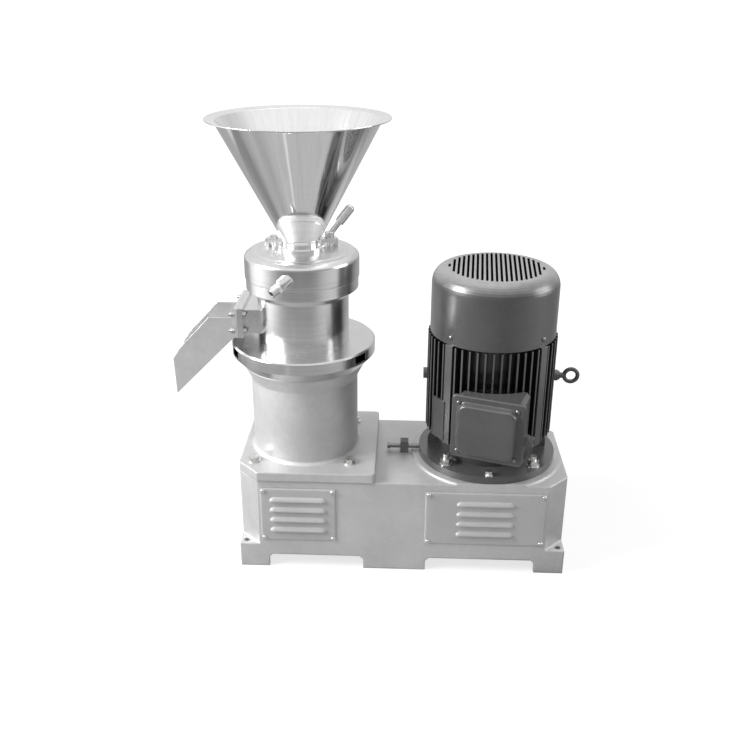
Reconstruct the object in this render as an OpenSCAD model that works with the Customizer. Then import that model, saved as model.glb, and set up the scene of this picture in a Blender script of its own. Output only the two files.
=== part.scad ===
// Split colloid mill: a cast base carries the mill head on a pedestal at the left
// and a flange-mounted motor at the right, joined by V-belts inside the base.
// Millimetres, +Z up, +X toward the motor, front is -Y, origin on the floor amid the floor bolts.

/* [Base] */
// Length of the base casting
base_len = 707; // [660:1:760]
// Width of the base casting
base_wid = 300; // [290:1:340]
// Height of the base casting's top face
base_h = 216; // [205:1:240]
// Wall of the base casting
base_wall = 10; // [7:0.5:14]
// Thickness of the base casting's top
base_top_t = 14; // [10:0.5:20]
// Leg of the cut vertical corners
corner_cut = 44; // [36:1:56]
// Height of the square corner ears
ear_h = 57; // [40:1:70]
// Radius of a floor bolt hole
floor_hole_r = 6.5; // [5:0.5:8]
// Floor bolt hole to the end of the base
floor_hole_end = 13; // [11:0.5:16]
// Floor bolt hole to the side of the base
floor_hole_side = 15; // [11:0.5:18]
// Height of the notches between the feet
notch_h = 31; // [20:1:40]
// Length of a foot at each end
end_foot_w = 63; // [58:1:75]
// Length of the foot in the middle
mid_foot_w = 136; // [100:1:160]
// Length of the notch under the mill
left_notch_w = 207; // [180:1:220]
// Radius of the round boss under the motor
boss_r = 166; // [158:1:175]
// Height of the round boss under the motor
boss_h = 4; // [2:0.5:8]

/* [Vent covers] */
// Sheet thickness of the vent covers
cover_t = 2; // [1.5:0.5:4]
// Length of the cover under the mill
left_cover_w = 164; // [150:1:176]
// Length of the cover under the motor
right_cover_w = 258; // [220:1:270]
// Height of both covers
cover_h = 130; // [120:1:136]
// Top of the base down to the covers' middle
cover_drop = 82; // [78:1:88]
// Rim of a cover that laps over the wall
cover_lap = 14; // [11:0.5:18]
// Screw to the edges of its cover
cover_screw_inset = 7; // [5:0.5:9]
// Length of a louver
louver_len = 124; // [80:1:126]
// Radius of a louver's hood
louver_r = 8; // [6:0.5:9]
// Louver to louver
louver_pitch = 24.7; // [21:0.1:27]
// Number of louvers in a cover
louver_n = 4; // [2:1:4]

/* [Mill stand] */
// Mill axis, left of the middle of the base
mill_offset = 218.5; // [210:0.5:222]
// Thickness of the pedestal's square flange
ped_flange_t = 21; // [16:0.5:26]
// Pedestal flange, mill axis to its right edge
ped_right = 160; // [150:1:166]
// Pedestal flange, how far it stands proud of the base
ped_proud = 3; // [1:0.5:5]
// Outer radius of the pedestal tube
ped_r = 115.5; // [108:0.5:117]
// Wall of the pedestal tube
ped_wall = 14; // [9:0.5:18]
// Top of the pedestal tube above the floor
ped_top = 440; // [420:1:450]
// Pedestal bolt, along the base from the mill axis
ped_bolt_x = 104; // [100:1:108]
// Pedestal bolt, across the base from the mill axis
ped_bolt_y = 100; // [96:1:104]

/* [Mill head] */
// Outer radius of the polished seat ring
ring_r = 153.5; // [148:0.5:158]
// Height of the seat ring
ring_h = 48; // [44:1:56]
// Height of the seat ring's plain rim
ring_rim = 28; // [24:0.5:32]
// Outer radius of the mill body
body_r = 97; // [95:0.5:99]
// Wall of the mill body
body_wall = 13; // [10:0.5:13.5]
// Top of the mill body's collar above the floor
body_top = 629; // [620:1:640]
// Outer radius of the body's collar
collar_r = 118; // [114:0.5:119]
// Height of the body's collar
collar_h = 23; // [18:0.5:28]
// Outer radius of the adjusting cap
cap_r = 120; // [116:0.5:124]
// Height of the adjusting cap's band
cap_band = 45; // [38:0.5:52]
// Outer radius of the hopper's lip
lip_r = 184; // [170:1:195]
// Outer radius of the hopper cone under its lip
cone_r = 166; // [155:0.5:172]
// Radius of the hopper's neck
neck_r = 37.5; // [34:0.5:41]
// Height of the hopper cone
cone_h = 243; // [220:1:260]
// Sheet thickness of the hopper
hopper_t = 2; // [1.5:0.5:3]

/* [Grinding set] */
// Radius of the rotor cone at its foot
rotor_foot_r = 62; // [58:0.5:66]
// Radius of the rotor cone at its top
rotor_top_r = 44; // [40:0.5:46]
// Height of the rotor cone
rotor_h = 55; // [48:1:57]
// Grinding gap between rotor and stator
grind_gap = 0.6; // [0.4:0.1:1.2]
// Number of teeth on the rotor
rotor_teeth = 24; // [16:1:28]
// Number of teeth in the stator
stator_teeth = 26; // [16:1:30]
// Radius of the mill spindle in its bearings
spindle_r = 20; // [18:0.5:21]
// Radius of the mill spindle in the rotor
rotor_bore_r = 18; // [15:0.5:18.5]
// Number of blades on the discharge impeller
blade_n = 6; // [4:1:8]

/* [Chute] */
// Width of the discharge duct and chute
chute_w = 100; // [80:1:110]
// Sheet thickness of the chute
chute_t = 2; // [1.5:0.5:3]
// Wall of the discharge duct
duct_wall = 5; // [4:0.5:7]
// Bottom of the discharge duct above the floor
duct_z = 513; // [508:1:516]
// Height of the discharge duct
duct_h = 52; // [44:1:56]
// Mill axis to the outer face of the duct's flange
duct_reach = 132; // [126:1:140]
// Run of the chute's sloping floor
chute_run = 123; // [100:1:140]
// Fall of the chute's sloping floor
chute_fall = 124; // [100:1:140]
// Height of the chute's open mouth
mouth_h = 82; // [60:1:90]

/* [Motor] */
// Motor axis, right of the middle of the base
motor_offset = 186; // [180:0.5:192]
// Radius of the motor flange
flange_r = 150; // [146:0.5:154]
// Thickness of the motor flange
flange_t = 16; // [12:0.5:20]
// Radius of the motor's bolt circle
motor_bolt_pcr = 132.5; // [130:0.5:135]
// Height of the motor's bell-shaped end shield above its flange
shield_h = 52; // [46:1:60]
// Radius of the motor frame under its fins
frame_r = 118; // [116:0.5:122]
// Depth of the motor's fins
fin_h = 19; // [16:0.5:22]
// Thickness of a fin
fin_t = 3.6; // [2.5:0.1:5]
// Number of fins around the motor
fin_n = 52; // [36:4:56]
// Height of the finned frame
frame_h = 224; // [210:1:240]
// Fan cowl, how far it stays inside the fins
cowl_in = 4; // [2:0.5:7]
// Height of the fan cowl
cowl_h = 139; // [130:1:150]
// Sheet thickness of the fan cowl
cowl_t = 2; // [1.5:0.5:3]
// Radius of the flat grille on the cowl
grille_r = 104; // [96:0.5:108]
// Slot to slot on the grille
grille_pitch = 9.7; // [8:0.1:12]
// Width of a grille slot
grille_slot = 5; // [3:0.1:6]
// Turn of the grille slots about the motor's axis, in degrees
grille_turn = -4.4; // [-20:0.1:20]
// Radius of the motor shaft
shaft_r = 19; // [17:0.5:20]
// Belt slack travel of the motor, toward the mill
slide_in = 6; // [4:0.5:8]
// Belt take-up travel of the motor, away from the mill
slide_out = 10; // [6:0.5:12]

/* [Terminal box] */
// Width of the terminal box cover
term_w = 150; // [130:1:156]
// Height of the terminal box cover
term_h = 138; // [124:1:146]
// Height of the terminal box's middle above the motor flange's foot
term_z = 145; // [138:1:152]
// Turn of the terminal box toward the mill, degrees
term_turn = 19; // [0:1:22]
// Fins to the foot of the terminal box cover, toward the front
term_out = 44.5; // [39:0.5:51]
// Terminal box cover's middle, toward the mill from the motor axis
term_shift = 17.5; // [0:0.5:20]

/* [Belt drive] */
// Outer radius of the drive pulley on the motor
drive_r = 62.5; // [56:0.5:68]
// Outer radius of the driven pulley on the spindle
driven_r = 50; // [46:0.5:56]
// Top of the base down to the bottom of both pulleys
pulley_drop = 71; // [66:1:78]
// Height of both pulleys
pulley_h = 46; // [40:1:48]
// Depth of the belt grooves
groove_d = 12; // [9:0.5:13]
// Number of belts
belt_n = 2; // [1:1:2]
// Width of a belt
belt_w = 12; // [9:0.5:13]
// Radius of the tension screw
tension_r = 5; // [4:0.5:6]

/* [Fits] */
// Running clearance at bearings and bushes, on the radius
run_fit = 0.05; // [0.02:0.01:0.08]
// Gap between pieces that move past each other
move_gap = 0.3; // [0.3:0.05:0.6]

/* [Hidden] */
$fn = 64;
over = 1;
mill_x = -mill_offset;
motor_x = motor_offset;
half_l = base_len/2;
half_w = base_wid/2;

boss_top = base_h + boss_h;
pulley_z = base_h - pulley_drop;
cover_z = base_h - cover_drop;
right_notch_w = base_len - 2*end_foot_w - mid_foot_w - left_notch_w;
notch_round = 8;
left_notch_x = -half_l + end_foot_w;
right_notch_x = half_l - end_foot_w - right_notch_w;
left_cover_x = mill_x - 5;
right_cover_x = motor_x - 8;
cover_screw_r = 2.5;

ped_floor = base_h + ped_flange_t;
ped_left = half_l - mill_offset;
ped_half = half_w + ped_proud;
ped_bore_r = ped_r - ped_wall;
ped_edge_cut = 6;
fillet = 6;
bolt_r = 6;
bolt_head_r = 11;
bolt_head_h = 8;
washer_r = 14;
washer_t = 2.5;

ring_top = ped_top + ring_h;
ped_flare = 17.5;
ped_flare_h = 36;
ring_foot_r = ped_r + ped_flare;
ring_ledge = 12;
ring_ledge_r = body_r - 9;
ring_edge = 3;
bar_slot_n = 3;
bar_slot_turn = -34;
bar_slot_w = 34;
bar_slot_h = 17;
bar_slot_d = 14;
bar_slot_top = 4.5;

body_foot = ped_top + ring_ledge;
body_floor = ring_top + 2;
body_floor_t = 20;
chamber_r = body_r - body_wall;
throat_r = body_r - 1;
throat_h = 35;
seal_r = spindle_r + 11;
seal_h = 12;
seal_z = body_floor - seal_h;
collar_taper = 16;

cap_foot = body_top + move_gap;
cap_band_top = cap_foot + cap_band;
cap_bevel = 8;
cap_top = cap_band_top + cap_bevel + 2;
skirt_h = 31;
stator_r = 78;
stator_foot = cap_foot - skirt_h;
cap_ceiling = stator_foot + 62;
foot_ring_r = neck_r + 10;
foot_ring_h = 9;
hopper_foot = cap_top + foot_ring_h;
cone_foot = hopper_foot + 8;
hopper_top = cone_foot + cone_h + 6;
neck_in_r = neck_r - hopper_t;
clamp_r = 62;
lever_turn = 25;
bolt_turn = 165;
claw_w = 16;
claw_t = 8;
claw_top = hopper_foot + claw_t;
claw_in = foot_ring_r - 6;
claw_out = clamp_r + 16;
stud_r = 5;
stud_depth = 14;
lever_lean = 42;
lever_len = 76;
lever_hub_r = 10;
lever_hub_h = 12;
stem_r = 6;
grip_r = 10;
grip_len = 44;
nozzle_turns = [-100.6, 79.4];
nozzle_yaw = -39.4;
nozzle_tilt = 28;
nozzle_r = 10;
nozzle_root_r = nozzle_r + 0.5;
nozzle_bore_r = nozzle_r - 3;
nozzle_sink = 16;
nozzle_len = 52;
nozzle_boss_r = 13;
nozzle_boss_h = 30;
nozzle_hex_r = 12.5;
nozzle_hex_h = 8;
nozzle_z = cap_foot + 0.4*cap_band;

rotor_foot = stator_foot + 1;
rotor_top = rotor_foot + rotor_h;
rotor_hub_r = 29;
impeller_foot = body_floor + 3;
impeller_disc_t = 6;
impeller_r = chamber_r - 6;
impeller_top = impeller_foot + 57;
blade_t = 5;
blade_h = 40;
tooth_w = 4.5;
tooth_d = 4;
tooth_skew = 14;
nut_h = 22;
nut_r = 17;
thread_r = 9;

brg_r = 2*spindle_r;
brg_h = 18;
housing_r = brg_r + 16;
housing_flange_r = ped_bore_r - 6;
housing_flange_t = 14;
housing_foot = base_h - 10;
housing_top = ped_top - 2;
housing_bore_r = brg_r - 5;
lower_brg_z = housing_foot + 4;
upper_brg_z = housing_top - 4 - brg_h;
brg_cover_t = 6;
housing_screw_pcr = (housing_r + housing_flange_r)/2;
stub_foot = pulley_z - 22;

duct_half = chute_w/2;
duct_flange_t = 12;
duct_flange_lap = 12;
chute_flange_t = 6;
chute_x = -duct_reach - chute_flange_t;
chute_bolt_y = duct_half + duct_flange_lap/2;
chute_bolt_z = [duct_z + 8, duct_z + duct_h - 8];
chute_bolt_r = 3;
chute_head_r = 5.6;
chute_top_z = duct_z + duct_h - 18;
chute_knee_x = 12;
chute_cheek = 56;
chute_knee_z = 10;

flange_top = boss_top + flange_t;
shield_top = flange_top + shield_h;
frame_top = shield_top + frame_h;
cowl_top = frame_top + cowl_h;
frame_in_r = frame_r - 12;
fin_r = frame_r + fin_h;
cowl_r = fin_r - cowl_in;
term_reach = fin_r + term_out;
term_pad_w = 104;
term_pad_h = 112;
term_pad_in = frame_in_r - 11;
term_pad_out = fin_r + 2;
pad_h = 91;
motor_brg_r = 2*spindle_r;
motor_seat_r = shaft_r + 1;
motor_brg_h = 18;
motor_hole_r = drive_r + slide_out + 8;
lower_motor_brg_z = flange_top + 4;
upper_motor_brg_z = frame_top - 14;
core_foot = shield_top + 20;
core_clear = 60;
core_h = frame_h - core_clear - 20;
core_in_r = 70;
air_gap = 0.6;
cowl_round = 34;
rib_w = 19;
pad_w = 37;
pad_turn = -144.5;
rib_clear = asin((rib_w/2 + fin_t/2 + 2)/frame_r);
motor_bolt_r = 7;
motor_nut_h = 12;
stud_end_h = 10;
lug_z = frame_top + 16;
fan_z = frame_top + 34;
fan_blade_h = 46;
fan_hub_r = 32;
fan_hub_h = 30;
fan_r = cowl_r - cowl_t - 12;
fan_n = 8;
eye_z = shield_top + 0.54*frame_h;
eye_reach = fin_r + 37;
eye_ring_r = 14.5;
eye_wire_r = 4.5;
eye_boss_r = 12;
eye_boss_reach = fin_r + 8;
term_mid = boss_top + term_z;
term_plate_t = 8;
term_crown_t = 14;
term_body_in = 7;
term_screw_in = 8;
gland_r = 13;

drive_x = motor_x;
belt_seat = groove_d - 2;
belt_d = 9;
belt_gap = 0.5;
belt_pitch = pulley_h/(belt_n + 0.4);
tension_z = boss_top + flange_t/2;
block_x = motor_x - flange_r - 33;
block_w = 18;
block_d = 22;
block_top = tension_z + 14;
tension_len = 65;

// Shared shapes

// A box centred on the plan point x, y that stands on z
module block(x, y, z, l, w, h) {
    translate([x - l/2, y - w/2, z]) cube([l, w, h]);
}

// A ring or tube around +Z that stands on z
module tube(z, outer, inner, h) {
    translate([0, 0, z]) difference() {
        cylinder(r = outer, h = h);
        translate([0, 0, -over]) cylinder(r = inner, h = h + 2*over);
    }
}

// Hex head screw whose head stands on z = 0 and whose shank points down
module hex_bolt(shank_r, shank_len, head_r, head_h) {
    cylinder(r = head_r, h = head_h, $fn = 6);
    translate([0, 0, -shank_len]) cylinder(r = shank_r, h = shank_len + head_h/2);
}

// Screw with a low round head that stands on z = 0
module round_screw(shank_r, shank_len, head_r, head_h) {
    rotate_extrude() polygon([
        [0, -shank_len], [shank_r, -shank_len], [shank_r, 0], [head_r, 0],
        [0.85*head_r, 0.7*head_h], [0.5*head_r, head_h], [0, head_h]
    ]);
}

// Children at the four points x, y, -x, -y
module four(x, y) {
    for (sx = [-1, 1], sy = [-1, 1]) translate([sx*x, sy*y, 0]) children();
}

module at_mill() { translate([mill_x, 0, 0]) children(); }
module at_motor() { translate([motor_x, 0, 0]) children(); }

// Plan outline of the base with its corners cut, set in by the given wall
module base_plan(inset) {
    x = half_l - inset;
    y = half_w - inset;
    c = corner_cut - 0.6*inset;
    polygon([
        [-x + c, -y], [x - c, -y], [x, -y + c], [x, y - c],
        [x - c, y], [-x + c, y], [-x, y - c], [-x, -y + c]
    ]);
}

// Opening between two feet, with its upper corners cut
module foot_notch(x, w) {
    translate([x, half_w + over, 0]) rotate([90, 0, 0]) linear_extrude(base_wid + 2*over) polygon([
        [0, -over], [w, -over], [w, notch_h - notch_round], [w - notch_round, notch_h],
        [notch_round, notch_h], [0, notch_h - notch_round]
    ]);
}

// Window in the front wall behind a vent cover
module cover_window(x, w) {
    block(x, -half_w, cover_z - cover_h/2 + cover_lap, w - 2*cover_lap, 4*base_wall, cover_h - 2*cover_lap);
}

// Places of the four screws of a vent cover, with +Z out of the front face
module cover_screw_places(x, w) {
    translate([x, -half_w, cover_z]) rotate([90, 0, 0])
        four(w/2 - cover_screw_inset, cover_h/2 - cover_screw_inset) children();
}

// Base and its vent covers

module base_casting() {
    slot_l = slide_in + slide_out + 2*motor_bolt_r + 3;
    slot_x = (slide_out - slide_in)/2;
    color("silver") difference() {
        union() {
            linear_extrude(base_h) base_plan(0);
            four(half_l - corner_cut/2, half_w - corner_cut/2)
                translate([-corner_cut/2, -corner_cut/2, 0]) cube([corner_cut, corner_cut, ear_h]);
            intersection() {
                translate([motor_x, 0, base_h - over]) cylinder(r = boss_r, h = boss_h + over);
                block(motor_x, 0, base_h - over, 2*boss_r, base_wid, boss_h + 2*over);
                linear_extrude(2*base_h) base_plan(0);
            }
        }
        translate([0, 0, -over]) linear_extrude(base_h - base_top_t + over) base_plan(base_wall);
        foot_notch(left_notch_x, left_notch_w);
        foot_notch(right_notch_x, right_notch_w);
        cover_window(left_cover_x, left_cover_w);
        cover_window(right_cover_x, right_cover_w);
        four(half_l - floor_hole_end, half_w - floor_hole_side)
            translate([0, 0, -over]) cylinder(r = floor_hole_r, h = ear_h + 2*over);
        at_mill() translate([0, 0, base_h - 2*base_top_t]) {
            cylinder(r = housing_r + 2, h = 3*base_top_t);
            four(ped_bolt_x, ped_bolt_y) cylinder(r = bolt_r + move_gap, h = 3*base_top_t);
        }
        at_motor() translate([0, 0, base_h - 2*base_top_t]) cylinder(r = motor_hole_r, h = 3*base_top_t);
        at_motor() four(motor_bolt_pcr*cos(45), motor_bolt_pcr*sin(45))
            block(slot_x, 0, base_h - 2*base_top_t, slot_l, 2*motor_bolt_r + 1, 3*base_top_t);
        cover_screw_places(left_cover_x, left_cover_w) translate([0, 0, -2*base_wall])
            cylinder(r = cover_screw_r + 0.1, h = 3*base_wall);
        cover_screw_places(right_cover_x, right_cover_w) translate([0, 0, -2*base_wall])
            cylinder(r = cover_screw_r + 0.1, h = 3*base_wall);
    }
}

// Louvered cover that lies on the front face of the base
module vent_cover(x, w) {
    first = cover_z + louver_pitch*(louver_n - 1)/2 - louver_r/2;
    face_y = -half_w - cover_t;
    module hood(r) {
        rotate([0, 90, 0]) translate([0, 0, -louver_len/2 + r/2]) cylinder(r = r, h = louver_len - r);
    }
    difference() {
        union() {
            block(x, -half_w - cover_t/2, cover_z - cover_h/2, w, cover_t, cover_h);
            for (i = [0:louver_n - 1]) translate([x, face_y, first - i*louver_pitch]) intersection() {
                hood(louver_r);
                block(0, -louver_r/2 + cover_t/4, 0, 2*louver_len, louver_r + cover_t/2, louver_r);
            }
        }
        for (i = [0:louver_n - 1]) translate([x, face_y, first - i*louver_pitch]) intersection() {
            hood(louver_r - cover_t);
            block(0, 0, -over, 2*louver_len, 4*louver_r, louver_r);
        }
        cover_screw_places(x, w) translate([0, 0, -over])
            cylinder(r = cover_screw_r + 0.1, h = cover_t + 2*over);
    }
}

module left_vent_cover() { color("silver") vent_cover(left_cover_x, left_cover_w); }
module right_vent_cover() { color("silver") vent_cover(right_cover_x, right_cover_w); }

module vent_cover_screws() {
    color("gainsboro") {
        cover_screw_places(left_cover_x, left_cover_w) translate([0, 0, cover_t])
            round_screw(cover_screw_r, base_wall, 4.5, 3);
        cover_screw_places(right_cover_x, right_cover_w) translate([0, 0, cover_t])
            round_screw(cover_screw_r, base_wall, 4.5, 3);
    }
}

// Mill stand

module pedestal() {
    color("silver") at_mill() difference() {
        union() {
            translate([0, 0, base_h]) linear_extrude(ped_flange_t) polygon([
                [-ped_left + corner_cut, -ped_half], [ped_right - ped_edge_cut, -ped_half],
                [ped_right, -ped_half + ped_edge_cut], [ped_right, ped_half - ped_edge_cut],
                [ped_right - ped_edge_cut, ped_half], [-ped_left + corner_cut, ped_half],
                [-ped_left, half_w - corner_cut], [-ped_left, -half_w + corner_cut]
            ]);
            translate([0, 0, ped_floor - over]) cylinder(r = ped_r, h = ped_top - ped_floor + over);
            translate([0, 0, ped_floor]) cylinder(r1 = ped_r + fillet, r2 = ped_r - 0.5, h = fillet);
            translate([0, 0, ped_top - ped_flare_h]) cylinder(r1 = ped_r - 0.5, r2 = ring_foot_r, h = ped_flare_h);
        }
        translate([0, 0, ped_floor]) cylinder(r = ped_bore_r, h = ped_top);
        translate([0, 0, base_h - over]) cylinder(r = housing_r + run_fit, h = ped_flange_t + 2*over);
        translate([0, 0, base_h - over]) four(ped_bolt_x, ped_bolt_y)
            cylinder(r = bolt_r + move_gap, h = ped_flange_t + 2*over);
        translate([0, 0, ped_floor - 12]) housing_screw_places() cylinder(r = 4, h = 20);
    }
}

module pedestal_bolts() {
    shank = ped_flange_t + base_top_t + 16;
    color("gainsboro") at_mill() translate([0, 0, ped_floor]) four(ped_bolt_x, ped_bolt_y) {
        tube(0, washer_r, bolt_r, washer_t);
        translate([0, 0, washer_t]) hex_bolt(bolt_r, shank, bolt_head_r, bolt_head_h);
        translate([0, 0, -ped_flange_t - base_top_t - bolt_head_h])
            cylinder(r = bolt_head_r, h = bolt_head_h, $fn = 6);
    }
}

// Places of the bearing housing's screws on the pedestal floor
module housing_screw_places() {
    for (a = [0:60:300]) rotate(a) translate([housing_screw_pcr, 0, 0]) children();
}

module bearing_housing() {
    color("dimgray") at_mill() difference() {
        union() {
            translate([0, 0, housing_foot]) cylinder(r = housing_r, h = housing_top - housing_foot);
            translate([0, 0, ped_floor]) cylinder(r = housing_flange_r, h = housing_flange_t);
        }
        translate([0, 0, housing_foot - over]) cylinder(r = housing_bore_r, h = housing_top);
        translate([0, 0, housing_foot - over]) cylinder(r = brg_r, h = lower_brg_z - housing_foot + brg_h + over);
        translate([0, 0, upper_brg_z]) cylinder(r = brg_r, h = housing_top);
        translate([0, 0, ped_floor - over]) housing_screw_places() cylinder(r = 4.5, h = housing_flange_t + 2*over);
    }
}

module bearing_housing_screws() {
    color("gainsboro") at_mill() translate([0, 0, ped_floor + housing_flange_t]) housing_screw_places()
        hex_bolt(4, housing_flange_t + 10, 7.5, 6);
}

// Deep-groove bearing: a thick ring with a shield groove in both faces
module bearing(z, outer, inner, h) {
    groove = (outer - inner)/3;
    translate([0, 0, z]) difference() {
        tube(0, outer, inner, h);
        tube(-over, outer - groove, inner + groove, over + 1);
        tube(h - 1, outer - groove, inner + groove, over + 1);
    }
}

module upper_spindle_bearing() {
    color("lightgray") at_mill() bearing(upper_brg_z, brg_r - 0.02, spindle_r + run_fit, brg_h);
}

module lower_spindle_bearing() {
    color("lightgray") at_mill() bearing(lower_brg_z, brg_r - 0.02, spindle_r + run_fit, brg_h);
}

// Cover with a spigot that holds a bearing in its seat
module upper_bearing_cover() {
    color("dimgray") at_mill() {
        tube(housing_top, housing_r, spindle_r + move_gap, brg_cover_t);
        tube(upper_brg_z + brg_h, brg_r - 0.1, brg_r - 8, housing_top - upper_brg_z - brg_h + over);
    }
}

module lower_bearing_cover() {
    color("dimgray") at_mill() {
        tube(housing_foot - brg_cover_t, housing_r, spindle_r + move_gap, brg_cover_t);
        tube(housing_foot - over, brg_r - 0.1, brg_r - 8, lower_brg_z - housing_foot + over);
    }
}

// Mill head

module seat_ring() {
    rim_foot = ring_top - ring_rim;
    color("whitesmoke") at_mill() difference() {
        rotate_extrude() polygon([
            [ring_ledge_r, ped_top], [ring_foot_r, ped_top], [ring_r - ring_edge, rim_foot],
            [ring_r, rim_foot + ring_edge], [ring_r, ring_top - ring_edge], [ring_r - ring_edge, ring_top],
            [body_r + run_fit, ring_top], [body_r + run_fit, body_foot], [ring_ledge_r, body_foot]
        ]);
        for (i = [0:bar_slot_n - 1]) rotate(bar_slot_turn + i*360/bar_slot_n)
            block(ring_r, 0, ring_top - bar_slot_top - bar_slot_h, 2*bar_slot_d, bar_slot_w, bar_slot_h);
    }
}

module mill_body() {
    flange_half = duct_half + duct_flange_lap;
    color("whitesmoke") at_mill() difference() {
        union() {
            rotate_extrude() polygon([
                [0, body_foot], [body_r, body_foot], [body_r, body_top - collar_h - collar_taper],
                [collar_r, body_top - collar_h], [collar_r, body_top], [0, body_top]
            ]);
            block(-duct_reach/2, 0, duct_z, duct_reach, 2*duct_half, duct_h);
            block(-duct_reach + duct_flange_t/2, 0, duct_z - duct_flange_lap/2,
                  duct_flange_t, 2*flange_half, duct_h + duct_flange_lap);
        }
        translate([0, 0, body_floor]) cylinder(r = chamber_r, h = body_top);
        translate([0, 0, body_top - throat_h]) cylinder(r = throat_r, h = body_top);
        translate([0, 0, body_foot - over]) cylinder(r = chamber_r, h = body_floor - body_floor_t - body_foot + over);
        translate([0, 0, body_foot]) cylinder(r = spindle_r + 2, h = body_floor);
        translate([0, 0, seal_z]) cylinder(r = seal_r, h = seal_h + over);
        block(-duct_reach/2 - over, 0, duct_z + duct_wall, duct_reach, 2*(duct_half - duct_wall), duct_h - 2*duct_wall);
        for (y = [-chute_bolt_y, chute_bolt_y], z = chute_bolt_z) translate([-duct_reach - over, y, z])
            rotate([0, 90, 0]) cylinder(r = chute_bolt_r + move_gap, h = duct_flange_t + 2*over);
    }
}

module spindle_seal() {
    color("darkslategray") at_mill() tube(seal_z, seal_r - 0.05, spindle_r + run_fit, seal_h);
}

module discharge_chute() {
    flange_half = duct_half + duct_flange_lap;
    foot_z = duct_z - 8;
    knee = [chute_x - chute_knee_x, foot_z - chute_knee_z];
    tip = knee + [-chute_run, -chute_fall];
    lip_low = tip + [-2.5, mouth_h];
    lip_high = lip_low + [17, 25];
    slope = (tip - knee)/norm(tip - knee);
    up = [slope.y, -slope.x]*chute_t;
    module upright(w) { rotate([90, 0, 0]) translate([0, 0, -w/2]) linear_extrude(w) children(); }
    color("lightgray") at_mill() {
        difference() {
            block(-duct_reach - chute_flange_t/2, 0, duct_z - duct_flange_lap/2,
                  chute_flange_t, 2*flange_half, duct_h + duct_flange_lap);
            block(-duct_reach, 0, duct_z + duct_wall, 4*chute_flange_t, 2*(duct_half - duct_wall), duct_h - 2*duct_wall);
            for (y = [-chute_bolt_y, chute_bolt_y], z = chute_bolt_z) translate([-duct_reach - 2*chute_flange_t, y, z])
                rotate([0, 90, 0]) cylinder(r = chute_bolt_r + move_gap, h = 4*chute_flange_t);
        }
        for (y = [-duct_half + chute_t/2, duct_half - chute_t/2]) translate([0, y, 0]) upright(chute_t) polygon([
            [chute_x + over, foot_z], knee, tip, lip_low, lip_high,
            [chute_x - chute_cheek, chute_top_z], [chute_x + over, chute_top_z]
        ]);
        upright(chute_w - chute_t) polygon([
            [chute_x + over, foot_z], knee, tip, tip + up, knee + up, [chute_x + over, foot_z + 1.5*chute_t]
        ]);
    }
}

module chute_bolts() {
    grip = duct_flange_t + chute_flange_t;
    color("gainsboro") at_mill() for (y = [-chute_bolt_y, chute_bolt_y], z = chute_bolt_z)
        translate([-duct_reach + duct_flange_t, y, z]) rotate([0, 90, 0]) {
            hex_bolt(chute_bolt_r, grip + 12, chute_head_r, 5.5);
            translate([0, 0, -grip - 6.5]) cylinder(r = chute_head_r, h = 6.5, $fn = 6);
        }
}

module adjusting_cap() {
    dome = 3;
    color("whitesmoke") at_mill() difference() {
        union() {
            rotate_extrude() polygon([
                [stator_r + run_fit, stator_foot], [throat_r - move_gap, stator_foot], [throat_r - move_gap, cap_foot],
                [cap_r, cap_foot], [cap_r, cap_band_top], [cap_r - cap_bevel, cap_band_top + cap_bevel],
                [cap_r - cap_bevel - 4, cap_top - dome], [foot_ring_r + 6, cap_top],
                [neck_r + run_fit, cap_top], [neck_r + run_fit, cap_ceiling], [stator_r + run_fit, cap_ceiling]
            ]);
            nozzle_places() cylinder(r = nozzle_boss_r, h = nozzle_boss_h);
        }
        nozzle_places() {
            cylinder(r = nozzle_root_r + 0.02, h = 40);
            translate([0, 0, -20]) cylinder(r = nozzle_bore_r, h = 40);
        }
        clamp_places() translate([0, 0, cap_top - stud_depth - 2]) cylinder(r = stud_r + move_gap, h = 40);
    }
}

// Nozzle roots on the cap's band, with +Z along each nozzle
module nozzle_places() {
    for (a = nozzle_turns) rotate(a) translate([cap_r, 0, nozzle_z]) rotate(nozzle_yaw)
        rotate([0, 90 + nozzle_tilt, 0]) translate([0, 0, -nozzle_sink]) children();
}

// Places of the two hopper clamps on the cap, with +X outward
module clamp_places() {
    for (a = [lever_turn, bolt_turn]) rotate(a) translate([clamp_r, 0, 0]) children();
}

module grinding_stator() {
    low = rotor_foot - stator_foot;
    slope = (rotor_foot_r - rotor_top_r)/rotor_h;
    stator_h = rotor_h + low + 3;
    color("silver") at_mill() translate([0, 0, stator_foot]) difference() {
        cylinder(r = stator_r, h = stator_h);
        translate([0, 0, -over]) cylinder(
            r1 = rotor_foot_r + grind_gap + slope*(low + over),
            r2 = rotor_foot_r + grind_gap - slope*(stator_h - low + over), h = stator_h + 2*over);
        for (i = [0:stator_teeth - 1]) rotate(i*360/stator_teeth)
            translate([rotor_foot_r + grind_gap, 0, low]) rotate([0, -atan(slope), 0]) rotate([-tooth_skew, 0, 0])
                block(0, 0, -rotor_h/2, 2*tooth_d, tooth_w, 2*rotor_h);
    }
}

module feed_hopper() {
    t = hopper_t;
    lip_foot = cone_foot + cone_h;
    color("whitesmoke") at_mill() rotate_extrude() polygon([
        [neck_in_r, cap_ceiling + 4], [neck_r, cap_ceiling + 4], [neck_r, cap_top], [foot_ring_r, cap_top],
        [foot_ring_r, hopper_foot - 2], [foot_ring_r - 2, hopper_foot], [neck_r, hopper_foot],
        [neck_r, cone_foot], [cone_r, lip_foot], [lip_r, hopper_top - t], [lip_r, hopper_top],
        [cone_r - t, lip_foot + t], [neck_in_r, cone_foot + t]
    ]);
}

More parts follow.
